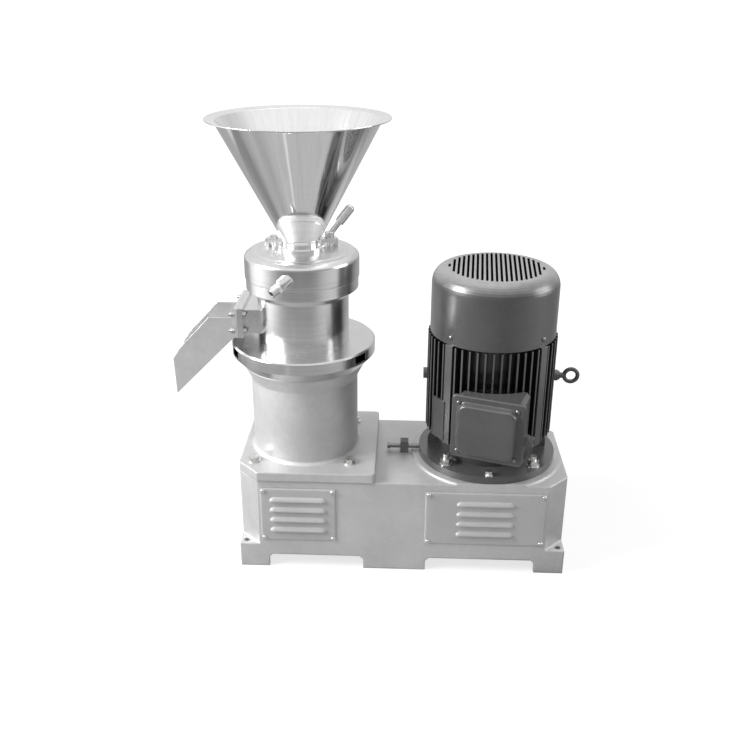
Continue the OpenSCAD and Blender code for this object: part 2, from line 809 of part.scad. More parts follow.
module hopper_clamps() {
    heel = 8;
    color("lightgray") at_mill() clamp_places() difference() {
        union() {
            translate([claw_in - clamp_r, -claw_w/2, hopper_foot]) cube([claw_out - claw_in, claw_w, claw_t]);
            translate([claw_out - clamp_r - heel, -claw_w/2, cap_top]) cube([heel, claw_w, foot_ring_h + over]);
        }
        translate([0, 0, hopper_foot - over]) cylinder(r = stud_r + move_gap, h = claw_t + 2*over);
    }
}

module clamp_bolt() {
    color("gainsboro") at_mill() rotate(bolt_turn) translate([clamp_r, 0, claw_top])
        hex_bolt(stud_r, claw_top - cap_top + stud_depth, 9, 6);
}

module cooling_nozzles() {
    color("lightgray") at_mill() nozzle_places() difference() {
        union() {
            cylinder(r = nozzle_root_r, h = nozzle_boss_h + over);
            translate([0, 0, nozzle_boss_h]) cylinder(r = nozzle_hex_r, h = nozzle_hex_h, $fn = 6);
            translate([0, 0, nozzle_boss_h + over]) cylinder(r = nozzle_r, h = nozzle_len - nozzle_boss_h - over);
        }
        translate([0, 0, -over]) cylinder(r = nozzle_bore_r, h = nozzle_len + 2*over);
    }
}

// Frame of the lever's stem: +Z along the stem, from the top of its hub
module along_stem() {
    at_mill() rotate(lever_turn) translate([clamp_r, 0, claw_top + move_gap + lever_hub_h/2])
        rotate([0, lever_lean, 0]) children();
}

module clamp_lever() {
    color("lightgray") {
        at_mill() rotate(lever_turn) translate([clamp_r, 0, claw_top + move_gap]) {
            cylinder(r = lever_hub_r, h = lever_hub_h);
            translate([0, 0, -(claw_top + move_gap - cap_top + stud_depth)])
                cylinder(r = stud_r, h = claw_top - cap_top + stud_depth + lever_hub_h/2);
        }
        along_stem() cylinder(r = stem_r, h = lever_len - grip_len + 6);
    }
}

module lever_grip() {
    color("gray") along_stem() translate([0, 0, lever_len - grip_len]) difference() {
        union() {
            cylinder(r = grip_r, h = grip_len - grip_r/2);
            translate([0, 0, grip_len - grip_r/2]) cylinder(r1 = grip_r, r2 = grip_r/2, h = grip_r/2);
        }
        translate([0, 0, -over]) cylinder(r = stem_r + 0.02, h = 6 + over);
        for (a = [0:60:300]) rotate(a) translate([grip_r + 1.5, 0, 4]) cylinder(r = 2.5, h = grip_len - 12);
    }
}

// Spindle and what turns with it

module mill_spindle() {
    color("lightgray") at_mill() rotate_extrude() polygon([
        [0, stub_foot], [thread_r, stub_foot], [thread_r, pulley_z + 1],
        [spindle_r - 4, pulley_z + 1], [spindle_r - 4, pulley_z + pulley_h], [spindle_r, pulley_z + pulley_h],
        [spindle_r, impeller_foot], [rotor_bore_r, impeller_foot], [rotor_bore_r, rotor_top - 4],
        [thread_r, rotor_top - 4], [thread_r, rotor_top + nut_h - 6], [0, rotor_top + nut_h - 6]
    ]);
}

module grinding_rotor() {
    slope = (rotor_foot_r - rotor_top_r)/rotor_h;
    color("silver") at_mill() difference() {
        union() {
            translate([0, 0, rotor_foot]) cylinder(r1 = rotor_foot_r, r2 = rotor_top_r, h = rotor_h);
            translate([0, 0, impeller_top]) cylinder(r = rotor_hub_r, h = rotor_foot - impeller_top + over);
        }
        translate([0, 0, impeller_top - over]) cylinder(r = rotor_bore_r + 0.02, h = rotor_top - impeller_top + 2*over);
        for (i = [0:rotor_teeth - 1]) rotate(i*360/rotor_teeth) translate([rotor_foot_r, 0, rotor_foot])
            rotate([0, -atan(slope), 0]) rotate([tooth_skew, 0, 0]) block(0, 0, -rotor_h/2, 2*tooth_d, tooth_w, 2*rotor_h);
    }
}

module discharge_impeller() {
    color("silver") at_mill() difference() {
        translate([0, 0, impeller_foot]) union() {
            cylinder(r = rotor_hub_r, h = impeller_top - impeller_foot);
            cylinder(r = impeller_r, h = impeller_disc_t);
            for (i = [0:blade_n - 1]) rotate(i*360/blade_n) translate([rotor_hub_r - 2, -blade_t/2, 0])
                cube([impeller_r - rotor_hub_r - 2, blade_t, impeller_disc_t + blade_h]);
        }
        translate([0, 0, impeller_foot - over]) cylinder(r = rotor_bore_r + 0.02, h = impeller_top);
    }
}

module rotor_nut() {
    color("gainsboro") at_mill() translate([0, 0, rotor_top]) difference() {
        union() {
            cylinder(r = rotor_bore_r + 6, h = 5);
            cylinder(r = nut_r, h = nut_h, $fn = 6);
            translate([0, 0, nut_h - over]) cylinder(r1 = nut_r - 4, r2 = nut_r - 10, h = 6);
        }
        translate([0, 0, -over]) cylinder(r = thread_r + 0.02, h = nut_h - 5 + over);
    }
}

// Pulley with V-grooves around its rim
module pulley(outer, bore) {
    open = belt_w + 3;
    shut = belt_w + 1.2;
    difference() {
        translate([0, 0, pulley_z]) cylinder(r = outer, h = pulley_h);
        translate([0, 0, pulley_z - over]) cylinder(r = bore, h = pulley_h + 2*over);
        for (i = [0:belt_n - 1]) translate([0, 0, belt_mid(i)]) rotate_extrude() polygon([
            [outer - groove_d, -shut/2], [outer + over, -open/2], [outer + over, open/2], [outer - groove_d, shut/2]
        ]);
    }
}

function belt_mid(i) = pulley_z + pulley_h/2 + (i - (belt_n - 1)/2)*belt_pitch;

module driven_pulley() { color("dimgray") at_mill() pulley(driven_r, spindle_r - 4 + 0.02); }

// Washer and nut under a pulley
module shaft_nut() {
    tube(pulley_z - 5, 24, thread_r + 0.02, 5);
    translate([0, 0, pulley_z - 17]) difference() {
        cylinder(r = 15, h = 12, $fn = 6);
        translate([0, 0, -over]) cylinder(r = thread_r + 0.02, h = 12 + 2*over);
    }
}

module driven_pulley_nut() { color("gainsboro") at_mill() shaft_nut(); }

// Loop around both pulleys at the given depth below their rims
module belt_loop(depth) {
    hull() {
        translate([mill_x, 0]) circle(r = driven_r - depth);
        translate([drive_x, 0]) circle(r = drive_r - depth);
    }
}

module v_belts() {
    inner = belt_seat - belt_gap;
    color("black") for (i = [0:belt_n - 1]) translate([0, 0, belt_mid(i) - belt_w/2]) linear_extrude(belt_w) difference() {
        belt_loop(inner - belt_d);
        belt_loop(inner);
    }
}

// Belt tension

module tension_block() {
    color("dimgray") difference() {
        block(block_x, 0, base_h, block_w, block_d, block_top - base_h);
        translate([block_x - block_w, 0, tension_z]) rotate([0, 90, 0]) cylinder(r = tension_r + run_fit, h = 2*block_w);
    }
}

module tension_screw() {
    tip = motor_x - flange_r - move_gap;
    color("dimgray") translate([tip, 0, tension_z]) rotate([0, -90, 0]) {
        cylinder(r = tension_r, h = tension_len);
        translate([0, 0, tension_len - 1]) cylinder(r = tension_r + 3, h = 7, $fn = 6);
    }
}

// Motor

module motor_flange_shield() {
    bell = frame_in_r - 2;
    color("dimgray") at_motor() difference() {
        union() {
            translate([0, 0, boss_top]) cylinder(r = flange_r, h = flange_t);
            translate([0, 0, flange_top - over]) cylinder(r1 = bell, r2 = frame_r, h = shield_h + over);
            for (a = [0, 90, 180]) rotate(a) intersection() {
                translate([bell - 6, -4, flange_top - over]) cube([fin_r - bell, 8, shield_h]);
                translate([0, 0, flange_top - over]) cylinder(r1 = flange_r - 8, r2 = frame_r - 2, h = shield_h);
            }
        }
        translate([0, 0, boss_top - over]) cylinder(r = shaft_r + 6, h = shield_h + flange_t + 2*over);
        translate([0, 0, lower_motor_brg_z]) cylinder(r = motor_brg_r, h = motor_brg_h);
        translate([0, 0, lower_motor_brg_z + motor_brg_h - 0.5]) cylinder(r = motor_brg_r + 6, h = shield_h);
        translate([0, 0, boss_top - over]) four(motor_bolt_pcr*cos(45), motor_bolt_pcr*sin(45)) {
            cylinder(r = motor_bolt_r + move_gap, h = flange_t + 2*over);
            translate([0, 0, flange_t + over]) cylinder(r = washer_r + 3, h = shield_h);
        }
        rotate(-92) translate([flange_r - 12, 0, boss_top - over]) cylinder(r = 4.1, h = flange_t + 2*over);
    }
}

// Flat on the motor frame that carries the terminal box
module terminal_pad() {
    block(0, -(term_pad_in + term_pad_out)/2, term_mid - term_pad_h/2, term_pad_w, term_pad_out - term_pad_in, term_pad_h);
}

module motor_frame() {
    color("dimgray") at_motor() difference() {
        union() {
            translate([0, 0, shield_top]) cylinder(r = frame_r, h = frame_h);
            for (i = [0:fin_n - 1]) let(a = (i + 0.5)*360/fin_n) if (abs(a % 90 - 45) > rib_clear) rotate(a)
                translate([frame_r - 3, -fin_t/2, shield_top + 2]) cube([fin_r - frame_r + 3, fin_t, frame_h - 4]);
            for (a = [45:90:315]) rotate(a)
                translate([frame_r - 3, -rib_w/2, shield_top]) cube([fin_r - frame_r + 4, rib_w, frame_h]);
            for (a = [0, 180]) rotate(a) translate([frame_r - 3, 0, eye_z]) rotate([0, 90, 0])
                cylinder(r = eye_boss_r, h = eye_boss_reach - frame_r + 3);
            terminal_pad();
            rotate(pad_turn) translate([frame_r - 4, -pad_w/2, shield_top + 5])
                cube([fin_h + 6, pad_w, pad_h]);
        }
        translate([0, 0, shield_top - over]) cylinder(r = frame_in_r, h = frame_h + 2*over);
        translate([eye_boss_reach - 14, 0, eye_z]) rotate([0, 90, 0]) cylinder(r = 6.05, h = 20);
    }
}

module motor_top_shield() {
    color("dimgray") at_motor() difference() {
        union() {
            translate([0, 0, frame_top]) cylinder(r = frame_r, h = 8);
            translate([0, 0, frame_top - 18]) cylinder(r = motor_brg_r + 9, h = 30);
            tube(frame_top - 6, frame_in_r - 0.1, frame_in_r - 8, 7);
            for (a = [45:90:315]) rotate(a)
                translate([frame_r - 16, -9, frame_top]) cube([cowl_r - cowl_t - 0.1 - frame_r + 14, 18, 26]);
        }
        translate([0, 0, upper_motor_brg_z - 30]) cylinder(r = motor_brg_r, h = 30 + motor_brg_h);
        translate([0, 0, frame_top - 2*motor_brg_h]) cylinder(r = shaft_r + 6, h = 4*motor_brg_h);
        cowl_screw_places() translate([0, 0, -18]) cylinder(r = 3.1, h = 30);
    }
}

// Places of the cowl screws, with +Z outward through the cowl
module cowl_screw_places() {
    for (a = [45:90:315]) rotate(a) translate([cowl_r, 0, lug_z]) rotate([0, 90, 0]) children();
}

module motor_stator_core() {
    color("darkgray") at_motor() tube(core_foot, frame_in_r - 0.05, core_in_r, core_h);
}

module fan_cowl() {
    arc = [for (a = [0:10:90]) [cowl_r - cowl_round*(1 - cos(a))*(cowl_r - grille_r)/cowl_round,
                                cowl_top - cowl_round*(1 - sin(a))]];
    inner = [for (a = [90:-10:0]) [cowl_r - cowl_t - cowl_round*(1 - cos(a))*(cowl_r - grille_r)/cowl_round,
                                   cowl_top - cowl_t - cowl_round*(1 - sin(a))]];
    slots = floor((grille_r - 6)/grille_pitch);
    color("dimgray") at_motor() difference() {
        rotate_extrude() polygon(concat(
            [[cowl_r - cowl_t, frame_top], [cowl_r, frame_top]], arc,
            [[0, cowl_top], [0, cowl_top - cowl_t]], inner
        ));
        for (i = [-slots:slots]) {
            half = sqrt(pow(grille_r - 4, 2) - pow(abs(i)*grille_pitch + grille_slot/2, 2));
            rotate(grille_turn) block(i*grille_pitch, 0, cowl_top - 4*cowl_t, grille_slot, 2*half, 6*cowl_t);
        }
        cowl_screw_places() translate([0, 0, -10]) cylinder(r = 3.1, h = 20);
    }
}

module cowl_screws() {
    color("gainsboro") at_motor() cowl_screw_places() round_screw(3, 16, 5.5, 3.5);
}

// Frame of the terminal box: +Z out of its cover, +X to the right along it, +Y up
module at_terminals() {
    at_motor() translate([-term_shift, -term_reach, term_mid]) rotate(-term_turn) rotate([90, 0, 0]) children();
}

// Rectangle w by h with its corners cut
module cut_plate(w, h, c) {
    polygon([
        [-w/2 + c, -h/2], [w/2 - c, -h/2], [w/2, -h/2 + c], [w/2, h/2 - c],
        [w/2 - c, h/2], [-w/2 + c, h/2], [-w/2, h/2 - c], [-w/2, -h/2 + c]
    ]);
}

module terminal_box() {
    wall = 5;
    w = term_w - 2*term_body_in;
    h = term_h - 2*term_body_in;
    color("dimgray") difference() {
        at_terminals() difference() {
            translate([0, 0, -72]) linear_extrude(72) cut_plate(w, h, 8);
            translate([0, 0, -32]) linear_extrude(40) cut_plate(w - 2*wall, h - 2*wall, 6);
            terminal_screw_places() translate([0, 0, -20]) cylinder(r = 2.6, h = 30);
            gland_place() translate([0, 0, -2*wall]) cylinder(r = gland_r - 4, h = 3*wall);
        }
        at_motor() translate([0, 0, shield_top - 60]) cylinder(r = fin_r + 6, h = frame_h);
        at_motor() terminal_pad();
    }
}

module terminal_screw_places() {
    four(term_w/2 - term_body_in - term_screw_in, term_h/2 - term_body_in - term_screw_in) children();
}

module terminal_cover() {
    crown_w = term_w - 22;
    crown_h = term_h - 22;
    color("dimgray") at_terminals() difference() {
        union() {
            linear_extrude(term_plate_t) cut_plate(term_w, term_h, 6);
            hull() {
                translate([0, 0, term_plate_t - over]) linear_extrude(over) cut_plate(crown_w, crown_h, 26);
                translate([0, 0, term_plate_t + term_crown_t - 1]) linear_extrude(1) cut_plate(crown_w - 14, crown_h - 14, 18);
            }
        }
        terminal_screw_places() translate([0, 0, -over]) cylinder(r = 2.6, h = term_plate_t + 2*over);
    }
}

module terminal_screws() {
    color("gainsboro") at_terminals() translate([0, 0, term_plate_t]) terminal_screw_places()
        round_screw(2.5, term_plate_t + 12, 5, 3.5);
}

// Place of the cable gland on the right side of the terminal box, with +Z outward
module gland_place() {
    translate([term_w/2 - term_body_in, -18, -16]) rotate([0, 90, 0]) children();
}

module cable_gland() {
    color("dimgray") at_terminals() gland_place() difference() {
        union() {
            cylinder(r = gland_r + 2, h = 5);
            translate([0, 0, 4]) cylinder(r = gland_r, h = 10, $fn = 6);
            translate([0, 0, 13]) cylinder(r = gland_r - 2, h = 10);
        }
        translate([0, 0, 5]) cylinder(r = gland_r - 6, h = 30);
    }
}

module eye_bolt() {
    color("dimgray") at_motor() translate([0, 0, eye_z]) {
        translate([eye_reach, 0, 0]) rotate([90, 0, 0]) rotate_extrude() translate([eye_ring_r, 0]) circle(r = eye_wire_r);
        translate([eye_boss_reach, 0, 0]) rotate([0, 90, 0]) {
            translate([0, 0, -12]) cylinder(r = 6, h = 13);
            cylinder(r = 10, h = 4);
            translate([0, 0, 3]) cylinder(r1 = 7, r2 = 5, h = eye_reach - eye_ring_r - eye_boss_reach - 2);
        }
    }
}

module motor_bolts() {
    grip = flange_t + boss_h + base_top_t;
    color("gainsboro") at_motor() translate([0, 0, flange_top]) four(motor_bolt_pcr*cos(45), motor_bolt_pcr*sin(45)) {
        tube(0, washer_r, motor_bolt_r, washer_t);
        translate([0, 0, washer_t]) hex_bolt(motor_bolt_r, grip + 18, bolt_head_r + 1, motor_nut_h);
        translate([0, 0, washer_t + motor_nut_h - over]) cylinder(r = motor_bolt_r - 0.5, h = stud_end_h + over);
        translate([0, 0, -grip - washer_t - move_gap]) tube(0, washer_r, motor_bolt_r, washer_t);
        translate([0, 0, -grip - washer_t - move_gap - 10]) cylinder(r = bolt_head_r + 1, h = 10, $fn = 6);
    }
}

module earth_screw() {
    color("gainsboro") at_motor() rotate(-92) translate([flange_r - 12, 0, flange_top]) {
        tube(0, 9, 4, 2);
        translate([0, 0, 2]) hex_bolt(4, flange_t, 7.5, 8);
    }
}

module lower_motor_bearing() {
    color("lightgray") at_motor() bearing(lower_motor_brg_z, motor_brg_r - 0.02, motor_seat_r + run_fit, motor_brg_h);
}

module upper_motor_bearing() {
    color("lightgray") at_motor() bearing(upper_motor_brg_z, motor_brg_r - 0.02, motor_seat_r + run_fit, motor_brg_h);
}

module motor_shaft() {
    color("lightgray") at_motor() rotate_extrude() polygon([
        [0, stub_foot], [thread_r, stub_foot], [thread_r, pulley_z + 1], [shaft_r, pulley_z + 1],
        [shaft_r, boss_top + 6], [motor_seat_r, boss_top + 6], [motor_seat_r, frame_top + 8],
        [shaft_r - 4, frame_top + 8], [shaft_r - 4, fan_z + fan_hub_h + 4], [0, fan_z + fan_hub_h + 4]
    ]);
}

module motor_rotor_core() {
    color("darkgray") at_motor() tube(core_foot, core_in_r - air_gap, motor_seat_r + 0.02, core_h);
}

module cooling_fan() {
    color("black") at_motor() translate([0, 0, fan_z]) difference() {
        union() {
            cylinder(r = fan_hub_r, h = fan_hub_h);
            cylinder(r = fan_r - 4, h = 4);
            for (i = [0:fan_n - 1]) rotate(i*360/fan_n) translate([fan_hub_r - 4, -2, 0]) cube([fan_r - fan_hub_r, 4, fan_blade_h]);
        }
        translate([0, 0, -over]) cylinder(r = shaft_r - 4 + 0.02, h = fan_hub_h + 2*over);
    }
}

module drive_pulley() { color("dimgray") at_motor() pulley(drive_r, shaft_r + 0.02); }

module drive_pulley_nut() { color("gainsboro") at_motor() shaft_nut(); }

base_casting();
left_vent_cover();
right_vent_cover();
vent_cover_screws();
pedestal();
pedestal_bolts();
seat_ring();
mill_body();
discharge_chute();
chute_bolts();
bearing_housing();
bearing_housing_screws();
upper_spindle_bearing();
lower_spindle_bearing();
upper_bearing_cover();
lower_bearing_cover();
spindle_seal();
tension_block();
v_belts();
mill_spindle();
grinding_rotor();
discharge_impeller();
rotor_nut();
driven_pulley();
driven_pulley_nut();
adjusting_cap();
grinding_stator();
feed_hopper();
hopper_clamps();
clamp_bolt();
cooling_nozzles();
clamp_lever();
lever_grip();
motor_frame();
motor_flange_shield();
motor_top_shield();
motor_stator_core();
fan_cowl();
cowl_screws();
terminal_box();
terminal_cover();
terminal_screws();
cable_gland();
eye_bolt();
motor_bolts();
earth_screw();
lower_motor_bearing();
upper_motor_bearing();
motor_shaft();
motor_rotor_core();
cooling_fan();
drive_pulley();
drive_pulley_nut();
tension_screw();
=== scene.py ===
"""Colloid mill with its motor on one cast base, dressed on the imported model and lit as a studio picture."""
import math

import bmesh
import bpy
import numpy as np
from mathutils import Matrix, Vector


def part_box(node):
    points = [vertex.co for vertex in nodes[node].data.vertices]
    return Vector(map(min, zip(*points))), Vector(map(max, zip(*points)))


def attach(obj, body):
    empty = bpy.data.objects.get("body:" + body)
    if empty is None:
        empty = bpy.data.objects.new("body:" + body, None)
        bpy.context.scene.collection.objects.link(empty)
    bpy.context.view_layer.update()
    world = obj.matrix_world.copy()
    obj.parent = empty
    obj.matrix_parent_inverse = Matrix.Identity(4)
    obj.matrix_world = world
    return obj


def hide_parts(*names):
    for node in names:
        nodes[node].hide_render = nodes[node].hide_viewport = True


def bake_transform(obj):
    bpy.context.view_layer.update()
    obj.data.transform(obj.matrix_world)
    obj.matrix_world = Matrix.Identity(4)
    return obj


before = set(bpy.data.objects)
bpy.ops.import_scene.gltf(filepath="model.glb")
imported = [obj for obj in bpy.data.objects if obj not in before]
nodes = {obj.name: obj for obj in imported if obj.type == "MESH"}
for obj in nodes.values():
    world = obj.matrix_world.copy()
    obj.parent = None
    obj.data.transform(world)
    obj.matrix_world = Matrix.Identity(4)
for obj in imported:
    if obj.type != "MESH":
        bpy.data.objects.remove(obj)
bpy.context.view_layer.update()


# Base casting
# One grey-iron box casting with four bolt ears, feet and a machined boss for the motor.
# It is rubbed down, filled and sprayed with silver-grey paint, so its edges are all a little round.


class Wire:
    """A socket of a shader tree with arithmetic: an expression on wires adds its Math nodes."""

    def __init__(self, tree, socket=None):
        self.tree = tree
        self.socket = socket

    def node(self, kind, settings=None, inputs=None, out=0):
        """Adds a node, sets its settings, gives its sockets their values or links; returns one output."""
        made = self.tree.nodes.new("ShaderNode" + kind)
        for key, value in (settings or {}).items():
            if key == "stops":
                ramp = made.color_ramp
                while len(ramp.elements) < len(value):
                    ramp.elements.new(1.0)
                for element, (position, grey) in zip(ramp.elements, value):
                    element.position = position
                    element.color = (grey, grey, grey, 1.0)
            else:
                setattr(made, key, value)
        for key, value in (inputs or {}).items():
            if isinstance(value, Wire):
                self.tree.links.new(value.socket, made.inputs[key])
            else:
                made.inputs[key].default_value = value
        return Wire(self.tree, made.outputs[out])

    def maths(self, operation, *values):
        return self.node("Math", {"operation": operation}, dict(enumerate(values)))

    def __add__(self, other):
        return self.maths("ADD", self, other)

    def __sub__(self, other):
        return self.maths("SUBTRACT", self, other)

    def __rsub__(self, other):
        return self.maths("SUBTRACT", other, self)

    def __mul__(self, other):
        return self.maths("MULTIPLY", self, other)

    def __truediv__(self, other):
        return self.maths("DIVIDE", self, other)

    __radd__ = __add__
    __rmul__ = __mul__

    def root(self):
        return self.maths("SQRT", self)

    def above(self, level):
        return self.maths("GREATER_THAN", self, level)

    def below(self, level):
        return self.maths("LESS_THAN", self, level)

    def split(self):
        """The three parts of this vector."""
        parts = self.node("SeparateXYZ", None, {0: self})
        return [Wire(self.tree, part) for part in parts.socket.node.outputs]

    def facing_up(self):
        """The upward part of the surface's normal."""
        return self.node("NewGeometry", out="Normal").split()[2]

    def limit(self, low, high):
        """This value mapped so that low becomes 0 and high becomes 1, held between them."""
        return self.node("MapRange", {"clamp": True}, {0: self, 1: low, 2: high})

    def shade(self, dark, light):
        """A colour from dark to light as this value goes from 0 to 1; each of them is a colour or a wire."""
        ends = [end if isinstance(end, Wire) else tuple(end) + (1.0,) for end in (dark, light)]
        return self.node("Mix", {"data_type": "RGBA"}, {0: self, 6: ends[0], 7: ends[1]}, out=2)

    def noise(self, scale, detail=3.0, roughness=0.55):
        """Noise read at this vector, with its scale in waves per metre."""
        return self.node("TexNoise", None,
                         {"Vector": self, "Scale": scale, "Detail": detail, "Roughness": roughness})

    def soft_edge(self, radius):
        """The normal averaged over a radius, so that edges catch light as if they were round."""
        return self.node("Bevel", {"samples": 6}, {"Radius": radius})

    def relief(self, strength, distance, base):
        """A bumped normal from this height, on top of the base normal."""
        return self.node("Bump", None,
                         {"Strength": strength, "Distance": distance, "Height": self, "Normal": base})


def new_finish(name, **constants):
    """A material with one Principled shader; sockets that stay the same all over are set here."""
    material = bpy.data.materials.new(name)
    material.use_nodes = True
    shader = material.node_tree.nodes["Principled BSDF"]
    for socket, value in constants.items():
        shader.inputs[socket.replace("_", " ")].default_value = value
    return material, shader, Wire(material.node_tree)


def feed(shader, **wires):
    """Links what changes over the surface into the shader."""
    for socket, wire in wires.items():
        wire.tree.links.new(wire.socket, shader.inputs[socket.replace("_", " ")])


def dress(material, *names):
    """Gives CAD nodes their finish."""
    for name in names:
        slots = nodes[name].data.materials
        slots.clear()
        slots.append(material)


# Waves per metre of what shows in paint
CLOUDS = 11.0
SPECKS = 60.0
GRAIN = 320.0
PEEL = 1100.0
PEEL_DEPTH = 0.0006


def sprayed_paint(name, dark, light, dull, peel, soft=0.001, **constants):
    """Paint on metal: slow clouds of tone, a fine orange peel and uneven gloss, all on Object coordinates.
    The coats soften every edge, so the normal is averaged over a small radius there."""
    material, shader, start = new_finish(name, **constants)
    place = start.node("TexCoord", out="Object")
    cloud = place.noise(CLOUDS, 4.0)
    grain = place.noise(GRAIN, 3.0)
    speck = place.noise(SPECKS, 5.0, 0.7)
    tone = cloud*0.4 + grain*0.35 + speck*0.25
    feed(shader,
         Base_Color=tone.limit(0.36, 0.64).shade(dark, light),
         Roughness=dull[0] + (speck*0.6 + grain*0.4)*(dull[1] - dull[0]),
         Normal=(grain*0.7 + place.noise(PEEL, 2.0)*0.3).relief(peel, PEEL_DEPTH, start.soft_edge(soft)))
    return material


cast_paint = sprayed_paint("silver_grey_casting", (0.51,)*3, (0.64,)*3, (0.42, 0.6), 0.22, soft=0.006,
                           Metallic=0.52)
dress(cast_paint, "base_casting")


# Vent covers
# Two pressed steel covers with four louvers each, screwed over the windows of the base.

LOUVER_LENGTH = 0.124
LOUVER_RISE = 0.0055
LOUVER_DROP = 0.0102
LOUVER_END = 0.012
LOUVER_PITCH = 0.0247
LOUVERS = 4
SHORTEST_WAVE = 0.05
COVER_SHEET = 0.001
COVER_EDGE = 0.0004
BORDER_RISE = 0.0022
BORDER_WIDTH = 0.004


def reshape(mesh, work):
    """Opens a mesh, does the work on its points, edges and faces, and puts it back."""
    shape = bmesh.new()
    shape.from_mesh(mesh)
    work(shape)
    shape.to_mesh(mesh)
    shape.free()
    return mesh


def merge(shape, reach=1e-6):
    """Joins points that lie in one place."""
    bmesh.ops.remove_doubles(shape, verts=shape.verts, dist=reach)


def grid_mesh(name, *sheets):
    """A mesh from arrays of points (rows, columns, 3): one quad between neighbours, doubles merged."""
    points, quads, first = [], [], 0
    for sheet in sheets:
        rows, columns = sheet.shape[:2]
        index = first + np.arange(rows*columns).reshape(rows, columns)
        corners = [index[:-1, :-1], index[:-1, 1:], index[1:, 1:], index[1:, :-1]]
        quads.append(np.stack(corners, -1).reshape(-1, 4))
        points.append(sheet.reshape(-1, 3))
        first += rows*columns
    mesh = bpy.data.meshes.new(name)
    mesh.from_pydata(np.concatenate(points).tolist(), [], np.concatenate(quads).tolist())
    return reshape(mesh, merge)


def settle(piece_name, mesh, material, body, slot, *replaced, corner=35.0):
    """Makes an object of a mesh, smooth up to the corner angle, puts it on its body if it has one and hides
    the nodes that it replaces. The slot is not used."""
    mesh.materials.append(material)
    mesh.shade_smooth()
    mesh.set_sharp_from_angle(angle=math.radians(corner))
    piece = bpy.data.objects.new(piece_name, mesh)
    bpy.context.scene.collection.objects.link(piece)
    if body:
        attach(piece, body)
    if replaced:
        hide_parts(*replaced)
    return piece


def round_edges(piece, width, rings, corner):
    """A bevel along every edge that is sharper than the corner angle."""
    bevel = piece.modifiers.new("edge", "BEVEL")
    bevel.width = width
    bevel.segments = rings
    bevel.limit_method = "ANGLE"
    bevel.angle_limit = math.radians(corner)
    return bevel


def pressed_cover(node):
    """A cover as a height over its back plane. Its border rises to the flat as a quarter wave. Each louver
    rises as a quarter wave from its top line to its open lower lip, and both its height and the length of
    that wave shrink towards the ends as a half circle, so the ends are round. The sheet is cut below each
    lip: the strip under it starts again on the flat. A wall then gives the surface its thickness."""
    (left, front, foot), (edge, back, top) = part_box(node)
    middle_x, middle_z = (left + edge)/2, (foot + top)/2
    half = LOUVER_LENGTH/2
    border = BORDER_WIDTH*np.linspace(0, 1, 6)
    ends = half - LOUVER_END*(1 - np.sin(np.linspace(0, math.pi/2, 14)))
    x = np.unique(np.round(np.concatenate([
        left + border, np.linspace(left + BORDER_WIDTH, middle_x - half, 5), middle_x - ends,
        np.linspace(middle_x - half + LOUVER_END, middle_x + half - LOUVER_END, 9),
        middle_x + ends, np.linspace(middle_x + half, edge - BORDER_WIDTH, 5), edge - border]), 6))
    fall = np.clip((half - np.abs(x - middle_x))/LOUVER_END, 0, 1)
    end = np.sqrt(1 - (1 - fall)**2)
    wave = LOUVER_DROP*np.maximum(end, SHORTEST_WAVE)
    lips = middle_z + LOUVER_PITCH*(np.arange(LOUVERS)[::-1] - (LOUVERS - 1)/2) - LOUVER_RISE/2
    starts = np.concatenate([[top - BORDER_WIDTH], lips])
    rows = []
    for start, lip in zip(starts, lips):
        flat = np.linspace(start, lip + LOUVER_DROP, 3)
        rise = np.linspace(lip + LOUVER_DROP, lip, 15)
        rows.append((np.concatenate([flat, rise[1:]]), lip))
    rows[0] = (np.concatenate([top - border[:-1], rows[0][0]]), lips[0])
    below = np.linspace(lips[-1], foot + BORDER_WIDTH, 4)
    rows.append((np.concatenate([below[:-1], foot + border[::-1]]), None))
    strips = []
    for z, lip in rows:
        from_side = np.minimum(x - left, edge - x)
        from_end = np.minimum(z - foot, top - z)
        inside = np.minimum(from_side[None, :], from_end[:, None])
        height = BORDER_RISE*np.sin(math.pi/2*np.clip(inside/BORDER_WIDTH, 0, 1))
        if lip is not None:
            drop = np.clip(1 - (z - lip)[:, None]/wave[None, :], 0, 1)
            height = height + LOUVER_RISE*np.sin(math.pi/2*drop)*end
        wide = np.broadcast_to(x, height.shape)
        tall = np.broadcast_to(z[:, None], height.shape)
        strips.append(np.stack([wide, back - COVER_SHEET - height, tall], -1)[:, ::-1])
    piece = settle(node + "_pressed", grid_mesh(node, *strips), cover_paint, "frame", "cover_paint", node)
    wall = piece.modifiers.new("wall", "SOLIDIFY")
    wall.thickness = COVER_SHEET
    wall.offset = -1.0
    round_edges(piece, COVER_EDGE, 2, 50.0)


cover_paint = sprayed_paint("silver_grey_sheet", (0.42,)*3, (0.49,)*3, (0.4, 0.56), 0.08, Metallic=0.2)
dress(cover_paint, "left_vent_cover", "right_vent_cover")
pressed_cover("left_vent_cover")
pressed_cover("right_vent_cover")


# Fasteners
# Bright zinc-plated screws, bolts, washers and nuts, bought in; the plating is a little cloudy.


def plated(name, dark, light, gloss):
    """Bare or plated metal with cloudy plating: tone and gloss drift over a few millimetres."""
    material, shader, start = new_finish(name, Metallic=1.0)
    place = start.node("TexCoord", out="Object")
    cloud = place.noise(240.0, 4.0)
    fine = place.noise(1400.0, 2.0)
    feed(shader,
         Base_Color=cloud.limit(0.3, 0.7).shade(dark, light),
         Roughness=gloss[0] + (cloud*0.6 + fine*0.4)*(gloss[1] - gloss[0]),
         Normal=fine.relief(0.08, 0.0003, start.soft_edge(0.0006)))
    return material


